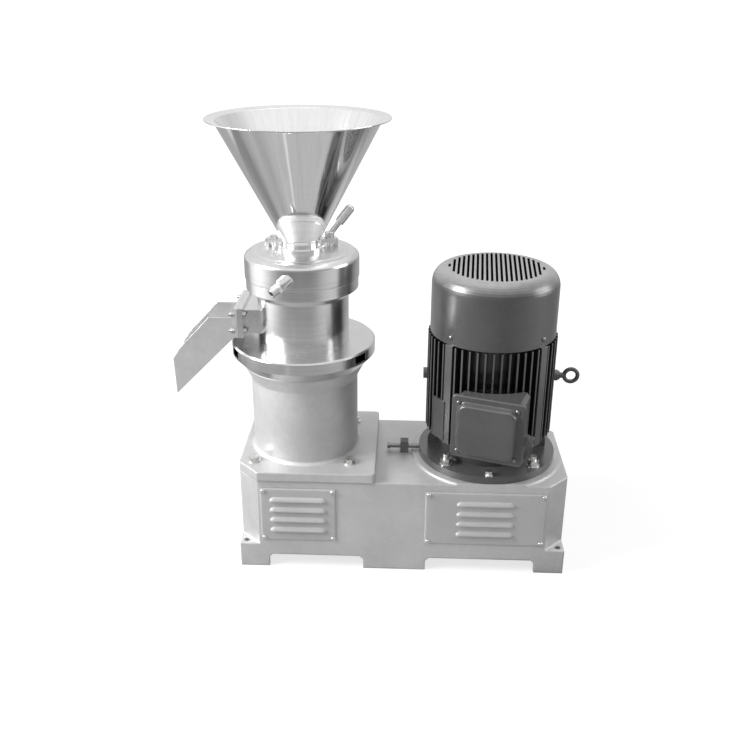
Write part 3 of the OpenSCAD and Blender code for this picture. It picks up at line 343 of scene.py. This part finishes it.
zinc = plated("bright_zinc", (0.62, 0.62, 0.61), (0.8, 0.8, 0.79), (0.18, 0.4))
dress(zinc, "pedestal_bolts", "chute_bolts", "clamp_bolt", "motor_bolts", "earth_screw",
      "bearing_housing_screws")
blackened = plated("blackened_steel", (0.16, 0.16, 0.16), (0.3, 0.3, 0.3), (0.24, 0.42))
dress(blackened, "cowl_screws", "terminal_screws", "tension_screw")


def ring_stack(rings, place, along):
    """A solid of outlines stacked along an axis, each with its points (x, y) across the axis and its height
    on it: x and y go along two directions square to the axis, and the place is where the height is 0."""
    axis = Vector(along).normalized()
    side = axis.orthogonal().normalized()
    up = axis.cross(side)
    turn = np.array([side, up, axis])
    flat = np.stack([np.stack([x, y, np.full_like(x, height)], -1) for x, y, height in rings])
    return flat @ turn + np.array(place)


def round_outline(radius, corners=0, steps=48):
    """A circle, or with corners a regular polygon whose corners lie on it, as one closed row of points."""
    turn = np.linspace(0, 2*math.pi, steps + 1)
    reach = np.full_like(turn, radius)
    if corners:
        wedge = math.pi/corners
        reach = radius*math.cos(wedge)/np.cos(np.mod(turn, 2*wedge) - wedge)
    return reach*np.cos(turn), reach*np.sin(turn)


def disc(radius, height):
    """A circle with its height, as one ring of a stack."""
    return round_outline(radius) + (height,)


# The radius that closes a stack at its end
POINT = 1e-5
COVER_FLAT = -0.1532
SCREW_RADIUS = 0.0052
SCREW_HEIGHT = 0.0034
SCREW_COLUMNS = (-0.2985, -0.1485, 0.056, 0.300)
SCREW_ROWS = (0.076, 0.192)


def turn_outward(shape):
    """Turns every face of a closed shape outwards."""
    bmesh.ops.recalc_face_normals(shape, faces=shape.faces)


def pan_head(place, along):
    """A low domed screw head: discs that shrink as the head rises."""
    dome = [(POINT, 0.0), (1.0, 0.0), (1.0, 0.25), (0.93, 0.62), (0.72, 0.88), (0.4, 1.0), (POINT, 1.0)]
    return ring_stack([disc(SCREW_RADIUS*share, SCREW_HEIGHT*rise) for share, rise in dome], place, along)


cover_screws = [pan_head((x, COVER_FLAT, z), (0, -1, 0)) for x in SCREW_COLUMNS for z in SCREW_ROWS]
screw_mesh = reshape(grid_mesh("cover_screw_heads", *cover_screws), turn_outward)
settle("cover_screw_heads", screw_mesh, zinc, "frame", "zinc_fastener", "vent_cover_screws", corner=60.0)

WASHER_RADIUS = 0.0068
WASHER_HEIGHT = 0.0016
WASHER_ROUND = 0.0003
NUT_RADIUS = 0.0064
STUD_RADIUS = 0.003
THREAD_PITCH = 0.001
THREAD_DEPTH = 0.0004


def bolt_end(place, along, nut_height, stud_out):
    """Washer, hexagon nut with turned-down corners and the end of a threaded stud, one above the other. The
    thread is a row of ridges a pitch apart."""
    top = WASHER_HEIGHT + nut_height
    tip = top + stud_out
    washer = [disc(POINT, 0.0), disc(WASHER_RADIUS, 0.0), disc(WASHER_RADIUS, WASHER_HEIGHT - WASHER_ROUND),
              disc(WASHER_RADIUS - WASHER_ROUND, WASHER_HEIGHT)]
    hexagon = round_outline(NUT_RADIUS, 6)
    nut = [disc(NUT_RADIUS*0.88, WASHER_HEIGHT), hexagon + (WASHER_HEIGHT + 0.0006,),
           hexagon + (top - 0.0008,), disc(NUT_RADIUS*0.84, top)]
    ridges = [disc(STUD_RADIUS - THREAD_DEPTH*(i % 2), top + i*THREAD_PITCH/2)
              for i in range(int(2*stud_out/THREAD_PITCH))]
    stud = [disc(STUD_RADIUS, top)] + ridges + [disc(STUD_RADIUS*0.7, tip), disc(POINT, tip)]
    return ring_stack(washer + nut + stud, place, along)


CHUTE_FACE = -0.3565
DUCT_FACE = -0.3385
CHUTE_BOLTS = [(y, z) for y in (-0.056, 0.056) for z in (0.521, 0.557)]
dull_zinc = plated("dull_zinc", (0.36, 0.36, 0.36), (0.52, 0.52, 0.52), (0.2, 0.42))
bolt_ends = [bolt_end((CHUTE_FACE, y, z), (-1, 0, 0), 0.0062, 0.0055) for y, z in CHUTE_BOLTS]
bolt_ends += [bolt_end((DUCT_FACE, y, z), (1, 0, 0), 0.0055, 0.0008) for y, z in CHUTE_BOLTS]
settle("chute_bolt_ends", grid_mesh("chute_bolt_ends", *bolt_ends), dull_zinc, "frame", "zinc_fastener",
       "chute_bolts", corner=40.0)


# Pedestal
# A cast round stand with a square foot flange that carries the mill over its bearing housing.

dress(cast_paint, "pedestal")


# Mill head
# Turned stainless rings, one above the other: seat ring, body and adjusting cap, polished in the lathe.

MILL_AXIS = -0.2185
SMEARS = 26.0
STREAK_REFLECTION_GREY = (0.3, 0.3, 0.3)
SLOT_SHADE_BLACK = (0.006, 0.006, 0.006)


def turned_steel(name, axis_x, dark, light, gloss, mark, pitch, hollow=None, matt_top=0.0, streaks=0.0):
    """Turned metal: tone, gloss and relief are noise over radius and height alone, so the marks run round
    the axis. A hollow, given by its radii and heights, is painted black inside as shade, and made duller.
    Faces that look up are duller by matt_top. Streaks, noise over the direction from the axis and a little of
    the height, are painted dark reflections in lines that run up the metal."""
    material, shader, start = new_finish(name, Metallic=1.0)
    place = start.node("TexCoord", out="Object")
    x, y, z = place.split()
    aside = x - axis_x
    radius = (aside*aside + y*y).root()
    rings = start.node("CombineXYZ", None, {0: radius, 1: 0.0, 2: z})
    broad = rings.noise(pitch, 2.0)
    lines = rings.noise(pitch*6.0, 3.0, 0.7)
    smear = place.noise(SMEARS, 4.0)
    tone = (broad*0.45 + lines*0.3 + smear*0.25).limit(0.3, 0.7).shade(dark, light)
    gloss_now = gloss[0] + (lines*0.6 + smear*0.4)*(gloss[1] - gloss[0])
    if streaks:
        # Painted reflection: dark streaks running up the mirror steel
        around = start.node("CombineXYZ", None, {0: aside/radius, 1: y/radius, 2: z*0.6})
        reflected_streaks = around.noise(16.0, 4.0, 0.7).limit(0.46, 0.72)*streaks
        tone = reflected_streaks.shade(tone, STREAK_REFLECTION_GREY)
    if matt_top:
        gloss_now = gloss_now + start.facing_up().limit(0.8, 0.97)*matt_top
    if hollow:
        # Painted shade: the hollow is black inside, and rougher so that it shows no reflection
        inside = radius.above(hollow[0])*radius.below(hollow[1])*z.above(hollow[2])*z.below(hollow[3])
        tone = inside.shade(tone, SLOT_SHADE_BLACK)
        gloss_now = gloss_now + inside*0.5
    feed(shader,
         Base_Color=tone,
         Roughness=gloss_now,
         Normal=(broad*0.4 + lines*0.6).relief(mark, 0.0004, start.soft_edge(0.0012)))
    return material


polished = turned_steel("polished_turned_steel", MILL_AXIS, (0.68,)*3, (0.80,)*3, (0.15, 0.29), 0.4, 160.0)
dress(polished, "mill_body", "hopper_clamps", "cooling_nozzles", "clamp_lever", "lever_grip")

CAP_RADIUS = 0.120
CAP_BORE = 0.03755
CAP_FOOT = 0.6293
CAP_ROOF = 0.6603
CAP_TOP = 0.6843
SPIGOT_RADIUS = 0.0877
SPIGOT_BORE = 0.07805
SPIGOT_FOOT = 0.5983
CAP_CORNERS = [(SPIGOT_BORE, SPIGOT_FOOT, 0.0), (SPIGOT_RADIUS, SPIGOT_FOOT, 0.0005),
               (SPIGOT_RADIUS, CAP_FOOT, 0.0005), (CAP_RADIUS, CAP_FOOT, 0.0008),
               (CAP_RADIUS, CAP_TOP - 0.011, 0.005), (CAP_RADIUS - 0.0105, CAP_TOP - 0.0018, 0.003),
               (CAP_RADIUS - 0.0125, CAP_TOP - 0.0032, 0.0012), (0.096, CAP_TOP - 0.0024, 0.0012),
               (0.0945, CAP_TOP - 0.0008, 0.0012), (0.0535, CAP_TOP, 0.002), (CAP_BORE, CAP_TOP, 0.0003),
               (CAP_BORE, CAP_ROOF, 0.0), (SPIGOT_BORE, CAP_ROOF, 0.0)]


def rounded_profile(corners, steps=7):
    """A row of (radius, height) points from corners (radius, height, round): each corner is cut back along
    both sides by its round, and a parabola with the corner as its middle point joins the two cuts."""
    points = np.array([corner[:2] for corner in corners])
    share = np.linspace(0, 1, steps)[:, None]
    rows = []
    for i, (radius, height, round_by) in enumerate(corners):
        here, before, after = points[i], points[i - 1], points[(i + 1) % len(corners)]
        start = here + (before - here)*min(0.48, round_by/np.linalg.norm(before - here))
        stop = here + (after - here)*min(0.48, round_by/np.linalg.norm(after - here))
        rows.append((1 - share)**2*start + 2*share*(1 - share)*here + share**2*stop)
    row = np.concatenate(rows)
    return np.concatenate([row, row[:1]])


def turned(corners, axis_x, steps=160):
    """A rounded profile carried round the upright axis: radius times (cos, sin) of the turn, and height."""
    profile = rounded_profile(corners)
    turn = np.linspace(0, 2*math.pi, steps + 1)
    x = axis_x + profile[:, :1]*np.cos(turn)
    y = profile[:, :1]*np.sin(turn)
    return np.stack([x, y, np.broadcast_to(profile[:, 1:], x.shape)], -1)


# Seats that the cooling-water nozzles screw into, half a turn apart on the cap
NOZZLE_ALONG = np.array([-0.6764, -0.5675, -0.4695])
NOZZLE_ROOT = np.array([-0.02207, -0.11795, 0.6473])
SEAT_BORE = 0.0105
SEAT_RADIUS = 0.013
SEAT_FOOT = -0.012
SEAT_CORNERS = [(SEAT_BORE, SEAT_FOOT), (SEAT_RADIUS, SEAT_FOOT), (SEAT_RADIUS, 0.0125), (0.0124, 0.0137),
                (SEAT_BORE, 0.014), (SEAT_BORE, SEAT_FOOT)]
nozzle_seats = []
for half_turn in (1, -1):
    spin = np.array([half_turn, half_turn, 1])
    root = NOZZLE_ROOT*spin + np.array([MILL_AXIS, 0.0, 0.0])
    seat = [disc(radius, height) for radius, height in SEAT_CORNERS]
    nozzle_seats.append(ring_stack(seat, root, NOZZLE_ALONG*spin))

cap_steel = turned_steel("turned_cap_steel", MILL_AXIS, (0.64,)*3, (0.76,)*3, (0.13, 0.27), 0.3, 160.0,
                         matt_top=0.16)
cap_mesh = reshape(grid_mesh("turned_cap", turned(CAP_CORNERS, MILL_AXIS), *nozzle_seats), turn_outward)
settle("turned_cap", cap_mesh, cap_steel, "head", "polished_steel", "adjusting_cap", corner=40.0)

# The bar slots in the ring's rim are left as they were milled; the shade inside them is painted black
RING_RADIUS = 0.1535
SLOT_BACK = 0.139
SLOT_FOOT = 0.4660
SLOT_TOP = 0.4840
ring_steel = turned_steel("polished_ring_steel", MILL_AXIS, (0.58,)*3, (0.70,)*3, (0.13, 0.27), 0.2, 160.0,
                          hollow=(SLOT_BACK, RING_RADIUS - 0.0004, SLOT_FOOT, SLOT_TOP), matt_top=0.06)
dress(ring_steel, "seat_ring")


# Feed hopper
# A spun stainless cone with a turned-over lip, polished like a mirror inside and out.

# The hopper's dark streaks are painted reflections in its colour
mirror = turned_steel("mirror_steel", MILL_AXIS, (0.84,)*3, (0.90,)*3, (0.05, 0.12), 0.03, 90.0,
                      streaks=0.16)
dress(mirror, "feed_hopper")


# Discharge chute
# Folded satin stainless sheet, welded at its corners and bolted to the duct of the body.


def brushed_sheet(name, dark, light, gloss, bare):
    """Brushed sheet: fine lines along the sheet's run, on Object coordinates squeezed across it."""
    material, shader, start = new_finish(name, Metallic=bare)
    place = start.node("TexCoord", out="Object")
    along = place.node("Mapping", None, {"Vector": place, "Scale": (60.0, 900.0, 60.0)})
    lines = along.noise(1.0, 3.0, 0.65)
    smear = place.noise(30.0, 4.0)
    feed(shader,
         Base_Color=(lines*0.5 + smear*0.5).limit(0.3, 0.7).shade(dark, light),
         Roughness=gloss[0] + (lines*0.5 + smear*0.5)*(gloss[1] - gloss[0]),
         Normal=lines.relief(0.06, 0.0003, start.soft_edge(0.0012)))
    return material


def rounded_copy(node, body, slot, material, radius, corner=30.0, rings=3):
    """The node's own shape with its edges rounded: merged, flat faces joined, then bevelled wherever two
    faces meet at more than the corner angle."""
    def join_flats(shape):
        merge(shape, 2e-6)
        bmesh.ops.dissolve_limit(shape, angle_limit=math.radians(0.4), verts=shape.verts, edges=shape.edges)

    mesh = reshape(nodes[node].data.copy(), join_flats)
    mesh.materials.clear()
    piece = settle(node + "_rounded", mesh, material, body, slot, node, corner=corner)
    round_edges(piece, radius, rings, corner).harden_normals = True


satin_sheet = brushed_sheet("satin_sheet", (0.60,)*3, (0.72,)*3, (0.26, 0.42), 0.7)
dress(satin_sheet, "discharge_chute")
rounded_copy("discharge_chute", "frame", "sheet_steel", satin_sheet, 0.0009, rings=2)


# Spindle and grinding parts
# Machined stainless pieces inside the mill: toothed rotor and stator, impeller, spindle and its nuts.

machined = turned_steel("machined_steel", MILL_AXIS, (0.55,)*3, (0.68,)*3, (0.22, 0.4), 0.12, 240.0)
dress(machined, "mill_spindle", "grinding_rotor", "grinding_stator", "discharge_impeller", "rotor_nut",
      "driven_pulley_nut", "upper_spindle_bearing", "lower_spindle_bearing")

iron = sprayed_paint("oiled_iron", (0.10,)*3, (0.17,)*3, (0.35, 0.6), 0.2)
dress(iron, "bearing_housing", "upper_bearing_cover", "lower_bearing_cover", "driven_pulley",
      "drive_pulley", "tension_block")

rubber = sprayed_paint("black_rubber", (0.018,)*3, (0.032,)*3, (0.55, 0.8), 0.3)
dress(rubber, "spindle_seal", "v_belts")


# Belts
# Two wrapped V-belts from the motor pulley to the spindle pulley inside the base.

MOTOR_AXIS = 0.186
DRIVEN_RADIUS = 0.050
DRIVE_RADIUS = 0.0625
PULLEY_HEIGHT = 0.046
PULLEY_MIDDLE = 0.168
BELT_PITCH = PULLEY_HEIGHT/2.4
TURN_STEPS = 60
RUN_STEPS = 30
# The section of a belt: each corner's place across the belt and its depth under the pulley's rim
BELT_SECTION = np.array([(-0.0055, 0.0006), (-0.0048, 0.0002), (0.0048, 0.0002), (0.0055, 0.0006),
                         (0.0058, 0.0015), (0.0043, 0.0085), (0.0036, 0.0093), (-0.0036, 0.0093),
                         (-0.0043, 0.0085), (-0.0058, 0.0015), (-0.0055, 0.0006)])


def belt_sheet(height):
    """A V section carried round both pulleys. Its points lie at a pulley's centre plus (radius - depth) along
    the outward direction, which turns round each pulley and stays still on the two straight runs between."""
    lean = math.acos((DRIVEN_RADIUS - DRIVE_RADIUS)/(MOTOR_AXIS - MILL_AXIS))
    run = np.linspace(0, 1, RUN_STEPS)
    turn = np.concatenate([np.linspace(-lean, lean, TURN_STEPS), np.full(RUN_STEPS, lean),
                           np.linspace(lean, 2*math.pi - lean, TURN_STEPS), np.full(RUN_STEPS, -lean)])
    share = np.concatenate([np.zeros(TURN_STEPS), run, np.ones(TURN_STEPS), 1 - run])
    centre = MOTOR_AXIS + share*(MILL_AXIS - MOTOR_AXIS)
    radius = DRIVE_RADIUS + share*(DRIVEN_RADIUS - DRIVE_RADIUS)
    side, depth = BELT_SECTION.T
    reach = radius[:, None] - depth[None, :]
    x = centre[:, None] + reach*np.cos(turn)[:, None]
    y = reach*np.sin(turn)[:, None]
    z = np.broadcast_to(height + side, x.shape)
    return np.stack([x, y, z], -1)


belts = settle("wrapped_belts", grid_mesh("wrapped_belts", belt_sheet(PULLEY_MIDDLE - BELT_PITCH/2),
                                          belt_sheet(PULLEY_MIDDLE + BELT_PITCH/2)),
               rubber, None, "black_rubber", "v_belts")
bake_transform(belts)


# Motor
# A flange motor on end: cast finned frame and shields, pressed cowl and terminal box, all in dark
# semi-gloss paint. Its flange is bolted to the boss of the base through slotted holes.

FIN_RADIUS = 0.137
DUST_AND_TOP_LIGHT_GREY = (0.34, 0.34, 0.34)
FIN_SHADE_BLACK = (0.008, 0.008, 0.008)


def motor_finish(name, dark, light, dull, dust_and_top_light_share, fin_shade_radii=None, wax=0.16, coat=0.6):
    """Dark semi-gloss paint, lighter where it faces up from dust and a painted top light. Given two radii
    about the motor's axis, the paint between the fins is painted nearly black as shade; the fins' edges keep
    their tone."""
    material, shader, start = new_finish(name, Coat_Weight=coat, Coat_Roughness=wax)
    place = start.node("TexCoord", out="Object")
    x, y, z = place.split()
    facing = start.facing_up()
    cloud = place.noise(CLOUDS, 4.0)
    grain = place.noise(GRAIN, 3.0)
    speck = place.noise(SPECKS, 5.0, 0.7)
    tone = (cloud*0.55 + grain*0.2 + speck*0.25).limit(0.32, 0.68).shade(dark, light)
    # Dust and painted top light: faces that look up turn lighter grey, most of all on the cowl
    dust_and_top_light = facing.limit(0.25, 1.0)*(0.55 + speck*0.9)*dust_and_top_light_share
    tone = dust_and_top_light.limit(0.0, 1.25).shade(tone, DUST_AND_TOP_LIGHT_GREY)
    # Painted shade: inside the outer radius the colour falls to nearly black between the fins
    if fin_shade_radii:
        aside = x - MOTOR_AXIS
        fin_edge_share = (aside*aside + y*y).root().limit(*fin_shade_radii)
        tone = fin_edge_share.shade(FIN_SHADE_BLACK, tone)
    feed(shader,
         Base_Color=tone,
         Roughness=dull[0] + (speck*0.6 + grain*0.4)*(dull[1] - dull[0]),
         Normal=(grain*0.7 + place.noise(PEEL, 2.0)*0.3).relief(0.12, PEEL_DEPTH, start.soft_edge(0.0015)))
    return material


motor_paint = motor_finish("dark_grey_motor", (0.05,)*3, (0.075,)*3, (0.24, 0.4), 0.12)
dress(motor_paint, "motor_flange_shield", "motor_top_shield", "terminal_box", "terminal_cover", "eye_bolt")
# On the cowl the lighter top is mostly painted top light, with some dust
cowl_paint = motor_finish("dark_grey_cowl", (0.045,)*3, (0.07,)*3, (0.28, 0.44), 1.0, wax=0.26, coat=1.0)
dress(cowl_paint, "fan_cowl")
# The gaps between the fins get painted shade, nearly black
finned_paint = motor_finish("dark_grey_fins", (0.065,)*3, (0.1,)*3, (0.26, 0.42), 0.2,
                            fin_shade_radii=(FIN_RADIUS - 0.0022, FIN_RADIUS - 0.0006))
dress(finned_paint, "motor_frame")


def rounded_outline(half_w, half_h, corner, steps=14):
    """A rectangle with round corners as one closed row of points: each corner is a quarter circle."""
    turn = np.linspace(0, math.pi/2, steps)
    quarters = [turn + k*math.pi/2 for k in range(4)]
    signs = [(1, 1), (-1, 1), (-1, -1), (1, -1)]
    x = np.concatenate([sx*(half_w - corner) + corner*np.cos(q) for q, (sx, sy) in zip(quarters, signs)])
    y = np.concatenate([sy*(half_h - corner) + corner*np.sin(q) for q, (sx, sy) in zip(quarters, signs)])
    return np.append(x, x[0]), np.append(y, y[0])


LID_PLACE = (0.1685, -0.1815, 0.365)
LID_TURN = math.radians(-19.0)
LID_HALF_W = 0.075
LID_HALF_H = 0.069
LID_CORNER = 0.009
RIM_HEIGHT = 0.008
RIM_ROLL = 0.003
FILLET_INSET = 0.0095
FILLET_CORNER = 0.020
FILLET = 0.0035
PANEL_INSET = 0.0155
PANEL_CORNER = 0.018
PANEL_HEIGHT = 0.022
SHOULDER = 0.004


def terminal_lid():
    """A lid as rings of one outline, each with its inset, corner radius and height: a flat rim with a rolled
    edge, then a raised middle with a soft shoulder. The rolls are quarter circles, and the rings lie in the
    lid's plane, which is turned about the upright."""
    quarter = np.linspace(0, math.pi/2, 6)
    across, along = 1 - np.cos(quarter), np.sin(quarter)
    rings = [(0.0, LID_CORNER, 0.0)]
    rings += [(RIM_ROLL*a, LID_CORNER - RIM_ROLL*a, RIM_HEIGHT - RIM_ROLL + RIM_ROLL*b)
              for a, b in zip(across, along)]
    rings += [(FILLET_INSET + FILLET*b, FILLET_CORNER, RIM_HEIGHT + FILLET*a) for a, b in zip(across, along)]
    rings += [(PANEL_INSET + SHOULDER*a, PANEL_CORNER, PANEL_HEIGHT - SHOULDER + SHOULDER*b)
              for a, b in zip(across, along)]
    rings += [(PANEL_INSET + SHOULDER + 0.0505*t, PANEL_CORNER*(1 - t) + 0.0006, PANEL_HEIGHT)
              for t in np.linspace(0.15, 0.6, 4)]
    sheet = []
    for inset, corner, height in rings:
        x, y = rounded_outline(LID_HALF_W - inset, LID_HALF_H - inset, corner)
        sheet.append(np.stack([x, np.full_like(x, -height), y], -1))
    cos, sin = math.cos(LID_TURN), math.sin(LID_TURN)
    turn = np.array([[cos, -sin, 0.0], [sin, cos, 0.0], [0.0, 0.0, 1.0]])
    return np.stack(sheet) @ turn.T + np.array(LID_PLACE)


def close_up(shape):
    """Fills the open ends of a shape and turns its faces outwards."""
    bmesh.ops.holes_fill(shape, edges=[edge for edge in shape.edges if edge.is_boundary])
    turn_outward(shape)


lid_mesh = reshape(grid_mesh("terminal_lid", terminal_lid()), close_up)
settle("terminal_lid", lid_mesh, motor_paint, "motor", "motor_paint", "terminal_cover", corner=50.0)
rounded_copy("terminal_box", "motor", "motor_paint", motor_paint, 0.0015)
rounded_copy("motor_flange_shield", "motor", "motor_paint", motor_paint, 0.0018, rings=2)
shaft_steel = turned_steel("turned_shaft", MOTOR_AXIS, (0.5,)*3, (0.62,)*3, (0.22, 0.4), 0.12, 240.0)
dress(shaft_steel, "motor_shaft", "drive_pulley_nut", "lower_motor_bearing", "upper_motor_bearing")
laminations = turned_steel("stacked_sheet", MOTOR_AXIS, (0.25,)*3, (0.4,)*3, (0.35, 0.6), 0.3, 500.0)
dress(laminations, "motor_stator_core", "motor_rotor_core")
gland_plastic = sprayed_paint("grey_gland", (0.1,)*3, (0.16,)*3, (0.35, 0.5), 0.1)
dress(gland_plastic, "cable_gland")
fan_plastic = sprayed_paint("black_fan_plastic", (0.02,)*3, (0.035,)*3, (0.4, 0.6), 0.1)
dress(fan_plastic, "cooling_fan")


# Floor, light and camera
# A white floor that keeps the shadow, one large soft light on the left with two weak ones, and a room round
# it: white to the eye, and for the steel white on the left, grey towards the front and dark on the right.

scene = bpy.context.scene
scene.view_settings.view_transform = "Standard"

WHITE = (1.0, 1.0, 1.0, 1.0)
FLOOR_HALF = 40.0
FLOOR_LEVEL = -0.0005
across = np.linspace(-FLOOR_HALF, FLOOR_HALF, 9)
floor_x, floor_y = np.meshgrid(across, across)
floor_points = np.stack([floor_x, floor_y, np.full_like(floor_x, FLOOR_LEVEL)], -1)
floor = bpy.data.objects.new("floor", grid_mesh("floor", floor_points))
scene.collection.objects.link(floor)

# Shares of white round the mill, from behind by the left, the front and the right to behind again:
# far out on the floor, where the rings look, and close by, where the hopper looks
FAR_ROOM = [(0.0, 0.5), (0.1, 0.42), (0.16, 0.45), (0.2, 1.2), (0.245, 1.5), (0.285, 1.42), (0.315, 1.1),
            (0.345, 0.75), (0.372, 0.5), (0.4, 0.35), (0.43, 0.3), (0.465, 0.26), (0.5, 0.31), (0.56, 0.28),
            (0.595, 0.38), (0.625, 0.58), (0.655, 0.7), (0.69, 0.76), (0.72, 0.8), (0.745, 0.66), (0.77, 0.5),
            (0.8, 0.3), (0.845, 0.26), (0.9, 0.42), (1.0, 0.5)]
NEAR_ROOM = [(0.0, 0.5), (0.12, 0.5), (0.16, 0.33), (0.22, 0.26), (0.25, 0.42), (0.285, 0.5), (0.31, 0.42),
             (0.345, 0.46), (0.384, 0.56), (0.437, 0.53), (0.447, 0.95), (0.457, 0.53), (0.62, 0.53),
             (0.672, 0.55), (0.69, 0.35), (0.703, 0.1), (0.735, 0.06), (0.757, 0.15), (0.775, 0.2),
             (0.8, 0.08), (0.835, 0.17), (0.865, 0.5), (0.92, 0.62), (1.0, 0.5)]


def room_shade(start, x, y, stops):
    """Brightness of the room in the direction (x, y): the angle from behind by the left, on a ramp."""
    turn = start.maths("ARCTAN2", x, y*-1.0)/(2.0*math.pi) + 0.5
    return start.node("ValToRGB", {"stops": stops}, {0: turn})


def ray_kinds(start):
    """Masks of the rays that come from the camera and from shiny surfaces."""
    camera_ray = start.node("LightPath", out="Is Camera Ray")
    return camera_ray, Wire(start.tree, camera_ray.socket.node.outputs["Is Glossy Ray"])


floor_paint = bpy.data.materials.new("white_floor")
floor_paint.use_nodes = True
floor_tree = floor_paint.node_tree
floor_tree.nodes.clear()
begin = Wire(floor_tree)
spot_x, spot_y, spot_z = begin.node("TexCoord", out="Object").split()
aside = spot_x - MILL_AXIS
out_from_mill = (aside*aside + spot_y*spot_y).root()
mirrored = out_from_mill.limit(1.36, 1.5).shade(room_shade(begin, aside, spot_y, NEAR_ROOM),
                                                room_shade(begin, aside, spot_y, FAR_ROOM))
in_steel = begin.node("Emission", None, {"Color": mirrored, "Strength": 1.0})
pale = begin.node("BsdfDiffuse", None, {"Color": (0.55, 0.55, 0.55, 1.0)})
seen = begin.node("BsdfDiffuse", None, {"Color": (0.3, 0.3, 0.3, 1.0)})
whiter = out_from_mill.limit(0.8, 2.4).shade((0.74,)*3, (1.0,)*3)
glow = begin.node("Emission", None, {"Color": whiter, "Strength": 1.0})
lit = begin.node("AddShader", None, {0: seen, 1: glow})
camera_ray, glossy_ray = ray_kinds(begin)
laid = begin.node("MixShader", None, {0: camera_ray, 1: pale, 2: lit})
laid = begin.node("MixShader", None, {0: glossy_ray, 1: laid, 2: in_steel})
floor_end = floor_tree.nodes.new("ShaderNodeOutputMaterial")
floor_tree.links.new(laid.socket, floor_end.inputs["Surface"])
floor.data.materials.append(floor_paint)

# Overhead the room is white; towards the horizon it is pale behind, white on the left and grey on the right
SKYLINE = [(0.0, 0.8), (0.2, 1.0), (0.3, 0.9), (0.42, 0.45), (0.55, 0.35), (0.7, 0.5), (0.8, 0.35),
           (0.9, 0.7), (1.0, 0.8)]
world = bpy.data.worlds.new("studio")
scene.world = world
world.use_nodes = True
world_tree = world.node_tree
world_tree.nodes.clear()
begin = Wire(world_tree)
head_x, head_y, head_z = begin.node("TexCoord", out="Generated").split()
dome = head_z.limit(0.3, 0.62).shade(room_shade(begin, head_x, head_y, SKYLINE), WHITE[:3])
fill = begin.node("Background", None, {"Color": WHITE, "Strength": 0.45})
room = begin.node("Background", None, {"Color": dome, "Strength": 1.0})
bright = begin.node("Background", None, {"Color": WHITE, "Strength": 1.0})
camera_ray, glossy_ray = ray_kinds(begin)
mixed = begin.node("MixShader", None, {0: glossy_ray, 1: fill, 2: room})
mixed = begin.node("MixShader", None, {0: camera_ray, 1: mixed, 2: bright})
world_end = world_tree.nodes.new("ShaderNodeOutputWorld")
world_tree.links.new(mixed.socket, world_end.inputs["Surface"])


def soft_light(name, place, aim, size, power):
    """A square soft box at a place, turned towards a point."""
    lamp = bpy.data.lights.new(name, "AREA")
    lamp.shape = "SQUARE"
    lamp.size = size
    lamp.energy = power
    box = bpy.data.objects.new(name, lamp)
    box.location = place
    box.rotation_mode = "QUATERNION"
    box.rotation_quaternion = (Vector(aim) - Vector(place)).to_track_quat("-Z", "Y")
    scene.collection.objects.link(box)


soft_light("key", (-2.35, -0.75, 1.65), (-0.1, 0.0, 0.4), 1.25, 106.0)
soft_light("fill", (2.4, -0.1, 1.2), (0.1, 0.0, 0.4), 1.3, 26.0)
soft_light("overhead", (0.1, 0.2, 2.7), (0.1, 0.0, 0.2), 1.6, 10.0)

EYE = Vector((-0.00912, -1.82271, 1.20523))
YAW, PITCH, ROLL = (math.radians(a) for a in (-2.43, 23.18, 0.12))
PICTURE_SIDE = 730.0
FOCAL_PIXELS = 910.02
SENSOR_WIDTH = 36.0
camera_data = bpy.data.cameras.new("camera")
camera_data.sensor_width = SENSOR_WIDTH
camera_data.lens = SENSOR_WIDTH*FOCAL_PIXELS/PICTURE_SIDE
camera = bpy.data.objects.new("camera", camera_data)
scene.collection.objects.link(camera)
forward = Vector((math.sin(YAW)*math.cos(PITCH), math.cos(YAW)*math.cos(PITCH), -math.sin(PITCH)))
right = Vector((math.cos(YAW), -math.sin(YAW), 0.0))
up = right.cross(forward)
right, up = right*math.cos(ROLL) + up*math.sin(ROLL), up*math.cos(ROLL) - right*math.sin(ROLL)
camera.matrix_world = Matrix.Translation(EYE) @ Matrix((right, up, -forward)).transposed().to_4x4()
scene.camera = camera
